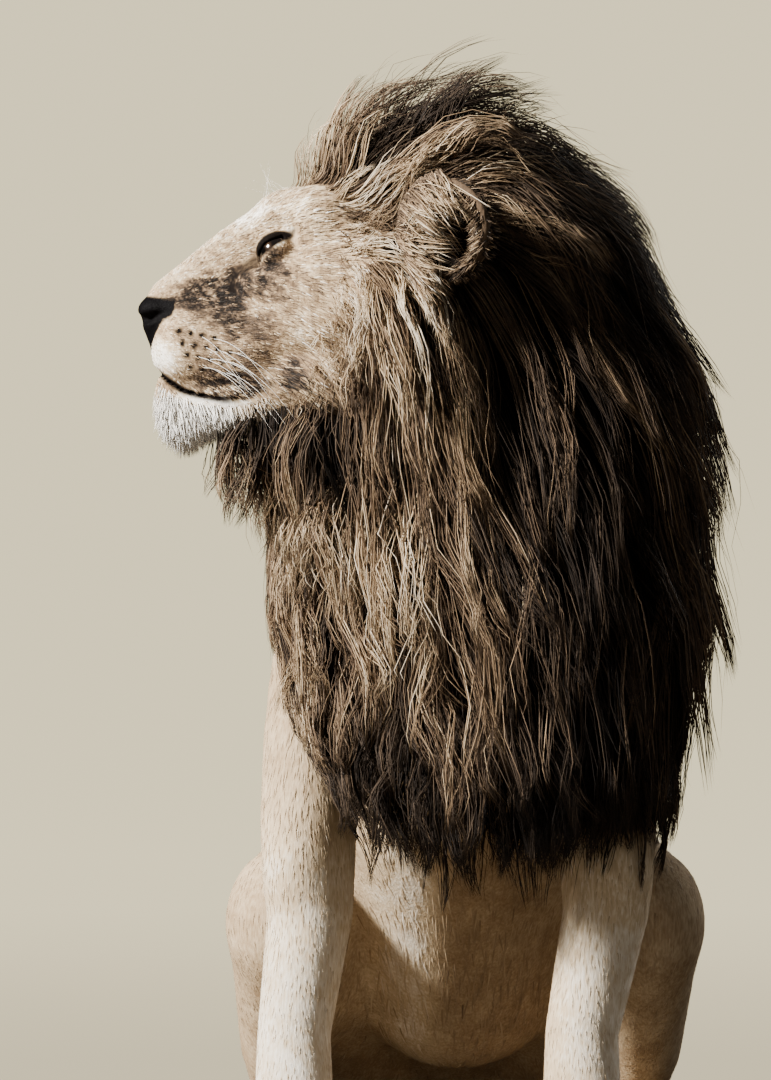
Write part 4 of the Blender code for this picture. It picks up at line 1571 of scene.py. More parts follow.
@dataclass
class Mane:
    """The long mane: locks of hair that grow on head, neck, shoulders and chest.

    Every lock has a leading hair, which follows the lie of the mane between the skin and the
    mane's outside. The hairs of a lock close up on it towards their tips.
    """

    skin: Skin
    shift: Array
    locks: int = 1700
    hairs: int = 22000
    steps: int = 14
    points: int = 8
    box: tuple = ((-0.36, -0.38, 0.24), (0.38, 0.46, 1.24))
    grid_step: float = 0.014
    inset: float = 0.007
    thickest: float = 0.25
    shortest: float = 0.022
    longest: float = 0.34
    stray_share: float = 0.035
    lock_reach: float = 0.022
    clump: tuple = (0.66, 0.88)
    pitch: tuple = (0.13, 0.215)
    wave: float = 0.0118
    frizz: float = 0.0006
    pale_from: float = 0.62
    palest: float = 0.84
    shape: HairShape = HairShape(width=0.00072, flat=0.8, belly=0.95, tip=0.34)
    axis: tuple = (0.03, 0.02)
    balls: dict = field(
        default_factory=lambda: {
            "crown": (-0.045, -0.073, 1.052, 0.118, 0.112, 0.106),
            "crest": (0.006, -0.062, 1.075, 0.082, 0.098, 0.093),
            "nape": (0.078, -0.01, 0.965, 0.108, 0.16, 0.105),
            "ruff": (0.09, 0.01, 0.85, 0.16, 0.2, 0.12),
            "neck": (0.08, 0.005, 0.76, 0.188, 0.22, 0.13),
            "shoulders": (0.045, -0.005, 0.64, 0.228, 0.232, 0.15),
            "breast": (0.026, -0.055, 0.485, 0.208, 0.172, 0.134),
            "cheeks": (-0.057, -0.078, 0.9, 0.093, 0.16, 0.11),
            "jowls": (-0.085, -0.08, 0.83, 0.095, 0.16, 0.09),
            "throat": (-0.15, -0.085, 0.766, 0.096, 0.112, 0.078),
            "right_neck": (-0.075, 0.1, 0.8, 0.11, 0.14, 0.125),
            "right_shoulder": (-0.095, 0.075, 0.665, 0.098, 0.15, 0.135),
            "withers": (0.02, 0.215, 0.81, 0.155, 0.115, 0.115),
            "elbow_left": (0.158, 0.01, 0.445, 0.07, 0.09, 0.09),
            "forelock": (-0.138, -0.074, 1.058, 0.058, 0.066, 0.052)
        }
    )
    groups: tuple = (
        "crown crest nape cheeks", "cheeks nape ruff jowls neck throat",
        "throat jowls neck shoulders", "nape ruff withers", "neck shoulders withers",
        "shoulders breast", "shoulders elbow_left", "crown forelock", "neck withers right_neck",
        "jowls right_neck", "right_neck right_shoulder", "right_shoulder shoulders"
    )
    hairline: tuple = (
        (-0.22, 0.262), (-0.156, 0.24), (-0.146, 0.205), (-0.138, 0.156), (-0.1, 0.131),
        (-0.06, 0.117), (0.0, 0.109), (0.04, 0.108), (0.055, 0.142), (0.068, 0.182), (0.12, 0.194)
    )
    right_edge: tuple = (
        (0.3, -0.09), (0.373, -0.112), (0.419, -0.124), (0.496, -0.156), (0.523, -0.172),
        (0.583, -0.192), (0.62, -0.3)
    )

    def lie(self) -> Lie:
        """Direction, tone, length and waviness over the mane's outside."""
        return Lie.of(MANE_LIE, 0.05)

    def build(self, random: Generator) -> None:
        """Grows every hair in the stance frame.

        Args:
            random: where chance comes from.
        """
        self.random = random
        pairs = []
        for group in self.groups:
            names = group.split()
            for index, first in enumerate(names):
                pairs += [
                    chain(self.balls[first], self.balls[second], blend=0.015)
                    for second in names[index + 1 :]
                ]
        self.outside = Lattice(*self.box, self.grid_step, pairs, 0.1)
        self.outside.values += self.inset
        self.inside = Lattice(*self.box, self.grid_step, self.skin.body.muscles(), 0.22)
        every = self.inside.points(np.ones(self.inside.values.shape, bool))
        half = self.skin.head.half(every)
        skull = np.full(len(every), FAR)
        for muscle in self.skin.head.muscles():
            skull = soft_min(skull, muscle.distance(half), muscle.blend)
        skull = skull.reshape(self.inside.values.shape)
        self.inside.values = soft_min(self.inside.values, skull, 0.02)
        self.grow(self.roots())

    def behind_hairline(self, points: Array) -> Array:
        """How far points lie behind the hairline, which runs over brow, cheek and throat.

        Args:
            points: positions, one row each.

        Returns:
            A distance for each position, negative in front.
        """
        place = self.skin.head.to_head(points)
        line = np.array(self.hairline)
        front = np.interp(place[:, 2], line[:, 0], line[:, 1])
        front = (
            front
            - step_up(0.03, 0.075, np.abs(place[:, 1])) * 0.03 * step_up(0.03, 0.06, place[:, 2])
        )
        return front - place[:, 0]

    def shade(self, points: Array, tone: Array) -> Array:
        """The skin's tone, taken down where the mane grows to about half the mane's tone there: the
        roots' colour with painted shade under the mane.

        Args:
            points: places on the skin.
            tone: the short coat's tone there.

        Returns:
            The tone with the mane's roots and the painted shade under the mane.
        """
        deep = step_up(-0.004, -0.03, self.outside.at(points)) * (1 - self.bare_arm(points))
        deep *= step_up(0.01, 0.07, self.behind_hairline(points))
        place = self.skin.head.half(points)
        ear = self.skin.head.ear_points(place)
        deep *= ~(
            (np.hypot(ear[:, 0], ear[:, 2]) < 0.053) & (ear[:, 1] > -0.012) & (place[:, 1] > 0.085)
        )
        # Painted shade under the mane: the mane's tone there, taken down to about half.
        roots = self.lie().at(points)[:, 3] * 0.55
        return tone * (1 - deep) + roots * deep

    def bare_arm(self, points: Array) -> Array:
        """How far points lie on the lion's right arm, which the mane leaves free.

        Args:
            points: positions, one row each.

        Returns:
            From 0 in the mane to 1 on the bare arm.
        """
        line = np.array(self.right_edge)
        edge = np.interp(points[:, 2], line[:, 0], line[:, 1])
        return step_up(0.02, -0.01, points[:, 0] - edge)

    def under_jaw(self, points: Array) -> Array:
        """How far points lie under the jaw, from which the throat's hair hangs."""
        return step_up(0.835, 0.812, points[:, 2]) * step_up(-0.12, -0.15, points[:, 0])

    def roots(self) -> Array:
        """Places of all roots on the skin.

        Returns:
            Positions, one row each.
        """
        skin, random = self.skin, self.random
        nets = [skin.body_net, skin.head_net]
        places = np.concatenate([nets[0][0], nets[1][0]])
        faces = np.concatenate([nets[0][1], nets[1][1] + len(nets[0][0])])
        pores = Pores(places, faces, random)
        spot = pores.middles
        outer = self.outside.at(spot)
        under_jaw = self.under_jaw(spot)
        weights = (
            step_up(-0.004 + 0.014 * under_jaw, -0.02 + 0.014 * under_jaw, outer)
            * (1 + 1.6 * under_jaw)
        )
        weights *= (self.behind_hairline(spot) > 0) * (self.inside.at(spot) > -0.014)
        head = skin.head
        half = head.half(spot)
        ear = head.ear_points(half)
        on_ear = (
            (np.hypot(ear[:, 0], ear[:, 2]) < 0.05) & (ear[:, 1] > -0.03) & (half[:, 1] > 0.06)
        )
        weights *= ~on_ear
        weights *= 1 - self.bare_arm(spot)
        weights *= 1 + 1.5 * step_up(0.84, 0.95, spot[:, 2])
        return pores.draw(weights, self.hairs)

    def follow(self, roots: Array, levels: Array, lengths: Array, sway: Array) -> Array:
        """Paths of hairs through the mane.

        Args:
            roots: where they start.
            levels: how far out they lie, from 0 on the skin to 1 on the outside.
            lengths: how long they are.
            sway: a direction to add to the lie.

        Returns:
            Points of every hair, root first.
        """
        point = roots.copy()
        path = [point]
        step = (lengths / self.steps)[:, None]
        lie = self.lie()
        for index in range(self.steps):
            share = (index + 0.5) / self.steps
            flow = unit(unit(lie.at(point)[:, :3]) + sway)
            out = self.inside.slope(point)
            high, over = self.inside.at(point), self.outside.at(point)
            thick = np.clip(high - over, 0.004, self.thickest)
            risen = min(1.0, share / 0.4)
            want = levels * thick * (1 - (1 - risen) ** 2)
            sinking = np.minimum((flow * out).sum(1), 0)
            held = step_up(0.02, -0.01, high - want)
            way = flow - out * (sinking * held)[:, None]
            lift = np.clip((want - high) / (step[:, 0] * 1.6), -0.75, 1.15)
            lift *= np.where(want > high, 1.0, 0.55) * (1.0 if share < 0.75 else 0.45)
            across = out - flow * (out * flow).sum(1, keepdims=True)
            leave = self.outside.slope(point)
            back = (
                np.clip(over / 0.02, 0, 1)[:, None] * 0.35
                * (leave - flow * (leave * flow).sum(1, keepdims=True))
            )
            way = unit(way + across * lift[:, None] - back)
            point = point + way * step
            path.append(point)
        return np.stack(path, 1)

    def trim(self, paths: Array, beyond: Array) -> Array:
        """Finds where hairs leave the mane or reach an ear.

        Args:
            paths: points of every hair.
            beyond: how far past the outside each may reach.

        Returns:
            How much of its length each keeps.
        """
        count, steps = paths.shape[:2]
        flat = paths.reshape(-1, 3)
        over = self.outside.at(flat).reshape(count, steps) - beyond[:, None]
        head = self.skin.head
        place = head.to_head(flat)
        ear = head.ear_points(head.halved(place))
        on_ear = (
            (np.hypot(ear[:, 0] + 0.024, ear[:, 2] + 0.016) < 0.036) & (ear[:, 1] > -0.012)
            & (np.abs(place[:, 1]) > 0.09)
        )
        on_ear &= (ear[:, 0] < 0.012) | (ear[:, 2] < -0.01)
        edge = np.array(self.right_edge)
        bare = np.interp(flat[:, 2], edge[:, 0], edge[:, 1]) - 0.006 - flat[:, 0]
        over = np.maximum(over, bare.reshape(count, steps))
        over = np.maximum(over, np.where(on_ear.reshape(count, steps), 0.01, -1))
        out = over > 0
        out[:, :3] = on_ear.reshape(count, steps)[:, :3]
        first = np.where(out.any(1), out.argmax(1), steps - 1)
        return np.clip(first / (steps - 1), 0.02, 1)

    def resample(self, paths: Array, keep: Array, points: int) -> Array:
        """Points at even shares of the kept length.

        Args:
            paths: points of every hair.
            keep: how much of its length each keeps.
            points: how many points to give.

        Returns:
            The new points of every hair.
        """
        last = paths.shape[1] - 1
        place = keep[:, None] * np.linspace(0, 1, points)[None] * last
        base = np.clip(place.astype(int), 0, last - 1)
        share = (place - base)[:, :, None]
        row = np.arange(len(paths))[:, None]
        return paths[row, base] * (1 - share) + paths[row, base + 1] * share

    def start(self, roots: Array) -> Strands:
        """Sorts the hairs into locks and sees what is known at their roots.

        Args:
            roots: where the hairs start.

        Returns:
            The hairs, without their paths.
        """
        random, count = self.random, len(roots)
        out = self.inside.slope(roots)
        thick = np.clip(self.inside.at(roots) - self.outside.at(roots), 0.0, self.thickest)
        leaders = random.permutation(count)[: self.locks]
        levels = 1.0 - 0.62 * random.random(count) ** 1.5
        target = roots + out * (levels * thick)[:, None]
        tree = KDTree(len(leaders))
        for index, leader in enumerate(leaders):
            tree.insert(target[leader], index)
        tree.balance()
        lock = np.array([tree.find(place)[1] for place in target])
        away = np.linalg.norm(target - target[leaders][lock], axis=1)
        edge = np.clip(away / self.lock_reach, 0, 1)
        lock_level = levels[leaders]
        levels = lock_level[lock] * (1 - 0.22 * edge) + random.normal(0, 0.03, count)
        back = step_up(0.04, 0.1, roots[:, 0]) * step_up(0.6, 0.7, roots[:, 2])
        levels *= 1 - 0.08 * back
        known = self.lie().at(roots + out * (thick * 0.8)[:, None])
        jaw = self.under_jaw(roots)
        return Strands(roots, out, thick, leaders, lock, edge, lock_level, levels, known, back, jaw)

    def draw_out(self, hair: Strands) -> None:
        """Gives the hairs their lengths and their paths through the mane.

        Args:
            hair: the hairs, whose paths, lengths and strays this sets.
        """
        random, count, roots, lock = self.random, len(hair.roots), hair.roots, hair.lock
        grown = 0.15 + 0.85 * step_up(0.0, 0.092, self.behind_hairline(roots)) ** 1.1
        grown = np.maximum(grown, hair.jaw * random.uniform(0.5, 1.0, count))
        lock_length = np.clip(random.normal(1.0, 0.13, self.locks), 0.7, 1.3)
        lengths = (hair.known[:, 4] + 0.75 * hair.thick) * grown * lock_length[lock]
        lengths = np.clip(lengths * random.uniform(0.78, 1.06, count), self.shortest, self.longest)
        waviness = np.clip(hair.known[:, 5], 0, 1)
        lock_sway = random.normal(0, 0.095, (self.locks, 3))
        lock_sway = lock_sway * (0.8 + 0.6 * waviness[hair.leaders])[:, None]
        stray = random.random(count) < self.stray_share
        levels = np.where(stray, random.uniform(0.9, 1.12, count), hair.levels)
        loose = np.where(stray, 0.15, 0.04) + 0.1 * step_up(1.0, 1.06, roots[:, 2])
        sway = lock_sway[lock] + random.normal(0, 1, (count, 3)) * loose[:, None]
        paths = self.follow(roots, levels, lengths, sway)
        strayed = random.uniform(0.004, 0.02, count)
        beyond = np.where(stray, strayed, random.uniform(-0.004, 0.01, count)) + 0.004 * hair.jaw
        low_edge = step_up(0.5, 0.42, roots[:, 2])
        beyond = beyond + low_edge * random.normal(0.01, 0.03, self.locks)[lock]
        keep = self.trim(paths, beyond)
        paths = self.resample(paths, keep, self.points)
        clump = random.uniform(*self.clump, self.locks)[lock] + 0.12 * waviness
        pull = np.where(stray, 0.1, clump)[:, None] * (self.share[None] ** 1.25)
        hair.own = keep * lengths
        fits = np.clip(1.15 - np.abs(hair.own / hair.own[hair.leaders][lock] - 1) * 1.2, 0, 1)
        pull = (pull * fits[:, None])[:, :, None]
        hair.paths = paths * (1 - pull) + paths[hair.leaders][lock] * pull
        hair.stray = stray

    def ruffle(self, hair: Strands) -> None:
        """Adds waves, lifted tips and frizz.

        Args:
            hair: the hairs, whose paths this changes.
        """
        random, count, paths, lock = self.random, len(hair.roots), hair.paths, hair.lock
        share, own = self.share, hair.own
        along = unit(np.gradient(paths, axis=1))
        across = unit(np.cross(along, hair.out[:, None, :]))
        upward = np.cross(across, along)
        phase = random.uniform(0, 2 * math.pi, (2, self.locks))[:, lock, None]
        pitch = random.uniform(*self.pitch, self.locks)[lock]
        wavy = hair.known[:, 5] * random.uniform(0.5, 1.4, self.locks)[lock] * self.wave
        turn = 2 * math.pi * (own / pitch)[:, None] * share[None]
        swing = wavy[:, None] * np.clip(share * 1.6, 0, 1)[None]
        own_turn = random.normal(0, 0.25, count)[:, None]
        paths = paths + across * (swing * np.sin(turn + phase[0] + own_turn))[:, :, None]
        aslant = 0.55 * swing * np.sin(turn * 0.9 + phase[1] + own_turn)
        paths = paths + upward * aslant[:, :, None]
        flicked = random.random(self.locks) < 0.3
        flick = np.where(flicked, random.uniform(0.3, 1.0, self.locks), 0.0)[lock]
        crown = np.maximum(step_up(1.02, 1.08, hair.roots[:, 2]), 0.45 * hair.back)
        flick *= 0.14 * own * crown + 0.03 * own * hair.jaw
        lift = (flick[:, None] * share[None] ** 2.5 * 2.2)[:, :, None]
        paths = paths + self.outside.slope(paths[:, -1])[:, None] * lift
        frizz = random.normal(0, 1, (count, self.points, 3)) * self.frizz
        frizz[:, 0] = 0
        hair.paths = paths + frizz * np.linspace(0.3, 1.6, self.points)[None, :, None]

    def tint(self, hair: Strands) -> Array:
        """Tones of the hairs: those of the lie, varied by lock and by hair, with painted shade at
        the roots, at lock edges and in locks that lie deep.

        Args:
            hair: the finished hairs.

        Returns:
            A tone for each point of each hair.
        """
        random, count, lock, share = self.random, len(hair.roots), hair.lock, self.share
        tone = self.lie().at(hair.paths.reshape(-1, 3))[:, 3].reshape(count, self.points)
        varied = random.normal(0, 0.15, self.locks)[lock] + random.normal(0, 0.08, count)
        tone = tone + varied[:, None] * (0.42 + 1.0 * tone)
        light_tip = random.uniform(-0.04, 0.12, count)[:, None] * share[None]
        streaks = np.clip(hair.known[:, 5], 0, 1) ** 1.5 * np.clip(hair.known[:, 3] * 2.2, 0, 1)
        lighter = streaks[:, None] * 0.5
        # Darker roots: partly their own colour, partly painted shade deep in the mane.
        root_dark_and_shade = 0.14 * step_up(0.02, 0.09, hair.own)
        tone = tone + light_tip * (0.4 + tone) - root_dark_and_shade[:, None] * (1 - share[None]) ** 2
        tone = tone + lighter * (share[None] - 0.42)
        # Painted light in the middle of each lock and painted shade towards its edge, between the
        # locks.
        tone = tone + (0.11 - 0.42 * hair.edge[:, None]) * (0.2 + tone)
        # Painted shade: locks that lie deep are darker.
        tone = tone * (0.42 + 0.58 * step_up(0.5, 0.88, hair.lock_level)[lock])[:, None] * 1.15
        softened = self.pale_from + (tone - self.pale_from) * 0.58
        return np.clip(np.where(tone > self.pale_from, softened, tone), 0.0, self.palest)

    def grow(self, roots: Array) -> None:
        """Turns roots into locks of hair.

        Args:
            roots: where the hairs start.
        """
        self.share = np.linspace(0, 1, self.points)
        hair = self.start(roots)
        self.draw_out(hair)
        self.ruffle(hair)
        hair.tone = self.tint(hair)
        fine = hair.own > 0.018
        thin = np.where(hair.stray, 0.6, 1.0 + 0.45 * hair.back)
        hair.width = self.random.uniform(0.75, 1.25, len(roots)) * thin
        hair.width = hair.width * np.clip(hair.own / 0.1, 0.55, 1.0)
        parts = (hair.roots, hair.paths, hair.out, hair.tone, hair.width)
        self.hair = [part[fine] for part in parts]

    def dress(self, material: Material) -> list:
        """Makes the mane's pieces, from the crown down to the chest.

        Args:
            material: the mane's finish.

        Returns:
            The pieces.
        """
        places = "crown ear_ruff nape neck shoulder breast chest".split()
        order = np.argsort(-self.hair[1][:, 0, 2], kind="stable")
        made = []
        for place, part in zip(places, np.array_split(order, len(places))):
            roots, paths, out, tone, width = (values[part] for values in self.hair)
            ends = [
                (*self.axis, float(height)) for height in (roots[:, 2].min(), roots[:, 2].max())
            ]
            paths, flat = paths + self.shift, around(roots, *ends)
            made.append(
                hair_piece(f"{place}_hair", paths, out, width, self.shape, tone, flat, material)
            )
        return made


# Each row: a place in the left half of the head frame, the coat's direction and length.
FACE_LIE = (
    (0.27, 0, -0.02, -1, 0, 0.45, 0.0045), (0.22, 0.01, 0.01, -1, 0.02, 0.5, 0.0055),
    (0.17, 0.01, 0.06, -0.9, 0.05, 0.5, 0.0075), (0.155, 0.035, 0.06, -0.9, 0.25, 0.45, 0.008),
    (0.13, 0.02, 0.08, -1, 0.1, 0.4, 0.0105), (0.11, 0.06, 0.06, -1, 0.2, 0.25, 0.0125),
    (0.25, 0.05, -0.07, -1, 0.1, -0.15, 0.0055), (0.24, 0.05, -0.11, -0.9, 0, -0.5, 0.0065),
    (0.285, 0.02, -0.09, -0.5, 0.5, -0.6, 0.0045), (0.19, 0.05, -0.06, -1, 0, -0.2, 0.007),
    (0.165, 0.06, -0.01, -1, 0.1, -0.15, 0.006), (0.13, 0.08, -0.04, -0.95, 0.1, -0.35, 0.011),
    (0.09, 0.1, -0.06, -0.8, 0.1, -0.6, 0.018), (0.1, 0.09, 0.02, -1, 0.1, -0.1, 0.013),
    (0.18, 0.045, -0.13, -0.9, 0, -0.45, 0.012), (0.1, 0.07, -0.13, -0.8, 0.1, -0.7, 0.022),
    (0.27, 0, -0.15, -0.2, 0, -1, 0.012), (0.24, 0, -0.17, -0.7, 0, -0.7, 0.02),
    (0, 0, 0.09, -1, 0, 0, 0.02)
)


# Each row: a place on the left half of the body, the coat's direction and length.
BODY_LIE = (
    (0, -0.1, 0.45, 0, 0.1, -1, 0.03), (0.17, 0.02, 0.42, 0, 0.12, -1, 0.02),
    (0.15, -0.05, 0.3, 0, 0, -1, 0.015), (0.15, 0.07, 0.32, 0, 0.3, -1, 0.022),
    (0.15, -0.04, 0.15, 0, -0.1, -1, 0.012), (0.14, -0.08, 0.06, 0, -0.85, -0.6, 0.01),
    (0, 0.15, 0.42, 0, 0.25, -0.95, 0.036), (0, 0.3, 0.25, 0, 0.5, -0.85, 0.04),
    (0.19, 0.2, 0.6, 0, 0.45, -0.9, 0.024), (0.19, 0.35, 0.45, 0, 0.6, -0.8, 0.026),
    (0.22, 0.55, 0.3, 0, 0.35, -0.95, 0.024), (0.21, 0.35, 0.32, 0, 0.45, -0.85, 0.022),
    (0.2, 0.2, 0.32, 0, -0.3, -0.95, 0.017), (0.2, 0.2, 0.15, 0, 0.05, -1, 0.015),
    (0.2, 0.45, 0.1, 0, 0.2, -1, 0.018), (0.2, 0.28, 0.07, 0, -0.85, -0.5, 0.012),
    (0.19, 0.17, 0.05, 0, -0.9, -0.45, 0.009), (0, 0.3, 0.78, 0, 0.6, -0.77, 0.024),
    (0, 0.47, 0.68, 0, 0.6, -0.77, 0.022), (0, 0.66, 0.42, 0, 0.4, -0.92, 0.022),
    (0.1, 0.73, 0.2, 0, 0.2, -1, 0.024)
)


@dataclass
class Coat:
    """Short fur in flat tufts over face, trunk, legs and tail."""

    skin: Skin
    mane: Mane
    marks: MarkingsLightAndShade
    shift: Array
    face_tufts: int = 17000
    body_tufts: int = 24000
    points: int = 3
    face_shape: HairShape = HairShape(0.00062, 0.22, belly=0.9, tip=0.8, smooth=False)
    body_shape: HairShape = HairShape(0.00072, 0.14, belly=0.9, tip=0.8, smooth=False)

    def face_lie(self) -> Lie:
        """Direction and length on the left half of the head, in the head frame."""
        return Lie.of(FACE_LIE, 0.022)

    def body_lie(self) -> Lie:
        """Direction and length on trunk, legs and tail.

        Returns:
            Rows of direction and length.
        """
        rows = list(BODY_LIE) + [(-row[0], *row[1:]) for row in BODY_LIE if row[0]]
        path = self.skin.body.tail_path()
        for place, way in zip(path, np.gradient(path, axis=0)):
            rows += [(*place, *unit(way[None])[0], 0.016)] * 3
        return Lie.of(rows, 0.045)

    def lay(self, roots: Array, ways: Array, lengths: Array, lift: Array) -> tuple:
        """Paths of tufts that lie along the skin.

        Args:
            roots: where they start.
            ways: the lie at each root.
            lengths: how long each is.
            lift: how far each tip stands off, as a share of the length.

        Returns:
            The paths and the outward directions at their roots.
        """
        out = self.skin.slope(roots)
        ways = unit(ways - out * (ways * out).sum(1, keepdims=True))
        path = [roots - out * 0.001]
        point = roots
        step = (lengths / (self.points - 1))[:, None]
        for index in range(1, self.points):
            share = index / (self.points - 1)
            point = point + ways * step
            facing = self.skin.slope(point)
            want = lengths * lift * share + 0.0005 * (1 - share)
            high = self.skin.height(point)
            near = np.abs(high - want) < 0.02
            point = point + facing * np.where(near, want - high, 0)[:, None]
            path.append(point)
        return np.stack(path, 1), out

    def build(self, random: Generator) -> None:
        """Lays the tufts of all regions.

        Args:
            random: where chance comes from.
        """
        self.parts = {}
        self.build_face(random)
        self.build_body(random)

    def build_face(self, random: Generator) -> None:
        """Lays the tufts before the mane.

        Args:
            random: where chance comes from.
        """
        skin, head = self.skin, self.skin.head
        pores = Pores(*skin.head_net, random)
        half = head.half(pores.middles)
        tone, dark, nose = self.marks.face(half)
        behind = self.mane.behind_hairline(pores.middles)
        weights = (1 - np.clip(dark * 1.6, 0, 1)) * (1 - nose) * step_up(0.055, 0.02, behind)
        weights *= skin.body_grid.at(pores.middles) > 0.002
        along, up, _ = head.eye_points(half)
        weights *= np.hypot(along / 2.4, up - 0.001) > 0.006
        weights *= 1 + 1.3 * step_up(0.13, 0.2, half[:, 0])
        roots = pores.draw(weights, self.face_tufts)
        place = head.to_head(roots)
        half = head.halved(place)
        known = self.face_lie().at(half)
        count = len(roots)
        ones = np.ones(count)
        ways = head.turned(known[:, :3] * np.stack([ones, np.sign(place[:, 1]), ones], 1))
        ways = unit(ways) + random.normal(0, 0.13, (count, 3))
        lengths = known[:, 3] * random.uniform(0.75, 1.3, count)
        lift = np.clip(random.normal(0.055, 0.035, count), 0.01, 0.2)
        paths, out = self.lay(roots, ways, lengths, lift)
        tone, dark, _ = self.marks.face(half)
        # The tufts take the dark lines and the painted brow shade too.
        tone = tone * (1 - 0.8 * dark) + random.normal(-0.02, 0.15, count) * (0.3 + tone)
        tones = np.clip(tone[:, None] + np.array([-0.06, 0.0, 0.05])[None], 0, 1)
        width = 0.35 + 0.65 * np.clip(lengths / 0.012, 0, 1.2)
        start, end = head.to_stance(np.array([[-0.09, 0, -0.03], [0.33, 0, -0.06]]))
        self.parts["face_coat"] = (paths, out, width, tones, around(roots, start, end))

    def build_body(self, random: Generator) -> None:
        """Lays the tufts behind and below the mane.

        Args:
            random: where chance comes from.
        """
        skin = self.skin
        pores = Pores(*skin.body_net, random)
        spot = pores.middles
        deep = step_up(-0.012, -0.03, self.mane.outside.at(spot)) * step_up(0.33, 0.4, spot[:, 2])
        weights = 1 - deep * (1 - self.mane.bare_arm(spot))
        weights *= (spot[:, 2] > FLOOR + 0.004) * (skin.head_grid.at(skin.head.to_head(spot)) > 0.0)
        leg = (spot[:, 2] < 0.5) & (np.abs(spot[:, 0]) > 0.05) & (spot[:, 1] < 0.13)
        weights *= 1 + 1.2 * leg + 1.2 * (spot[:, 2] < 0.1)
        roots = pores.draw(weights, self.body_tufts)
        count = len(roots)
        known = self.body_lie().at(roots)
        ways = unit(known[:, :3]) + random.normal(0, 0.12, (count, 3))
        lengths = known[:, 3] * random.uniform(0.7, 1.25, count)
        lift = np.clip(random.normal(0.014, 0.008, count), 0.006, 0.04)
        paths, out = self.lay(roots, ways, lengths, lift)
        paths[:, :, 2] = np.maximum(paths[:, :, 2], FLOOR + 0.0006)
        tone = self.marks.body(roots) + random.normal(0, 0.04, count)
        tones = np.clip(tone[:, None] + np.array([-0.03, -0.03, -0.02])[None], 0, 1)
        width = 0.45 + 0.75 * np.clip(lengths / 0.022, 0, 1.3)
        x, y, z = roots.T
        tail = ((z < 0.2) & (y > 0.735)) | ((x > 0.255) & (y > 0.44) & (z < 0.06))
        fore = (y < 0.13) & (z < 0.46) & ~tail
        hind = (y >= 0.13) & (np.abs(x) > 0.105) & (z < 0.4) & ~tail
        regions = {"tail_coat": (tail, (0.15, 0.78, -0.2), (0.15, 0.78, 0.4))}
        for side in Side:
            own, leg_x, thigh_x = x * side.value > 0, side.value * 0.148, side.value * 0.16
            regions[f"foreleg_coat_{side.word}"] = (
                fore & own, (leg_x, 0.01, 0.0), (leg_x, 0.01, 0.47)
            )
            regions[f"hindleg_coat_{side.word}"] = (
                hind & own, (thigh_x, 0.1, 0.12), (thigh_x, 0.75, 0.12)
            )
        regions["trunk_coat"] = (~(tail | fore | hind), (0, 0.66, 0.1), (0, 0.0, 0.85))
        for name, (chosen, start, end) in regions.items():
            self.parts[name] = (
                paths[chosen], out[chosen], width[chosen], tones[chosen],
                around(roots[chosen], start, end)
            )

    def dress(self, material: Material) -> list:
        """Makes the coat's pieces.

        Args:
            material: its finish.

        Returns:
            The pieces.
        """
        made = []
        for name, (paths, out, width, tones, roots) in self.parts.items():
            shape = self.face_shape if name == "face_coat" else self.body_shape
            made.append(
                hair_piece(name, paths + self.shift, out, width, shape, tones, roots, material)
            )
        return made


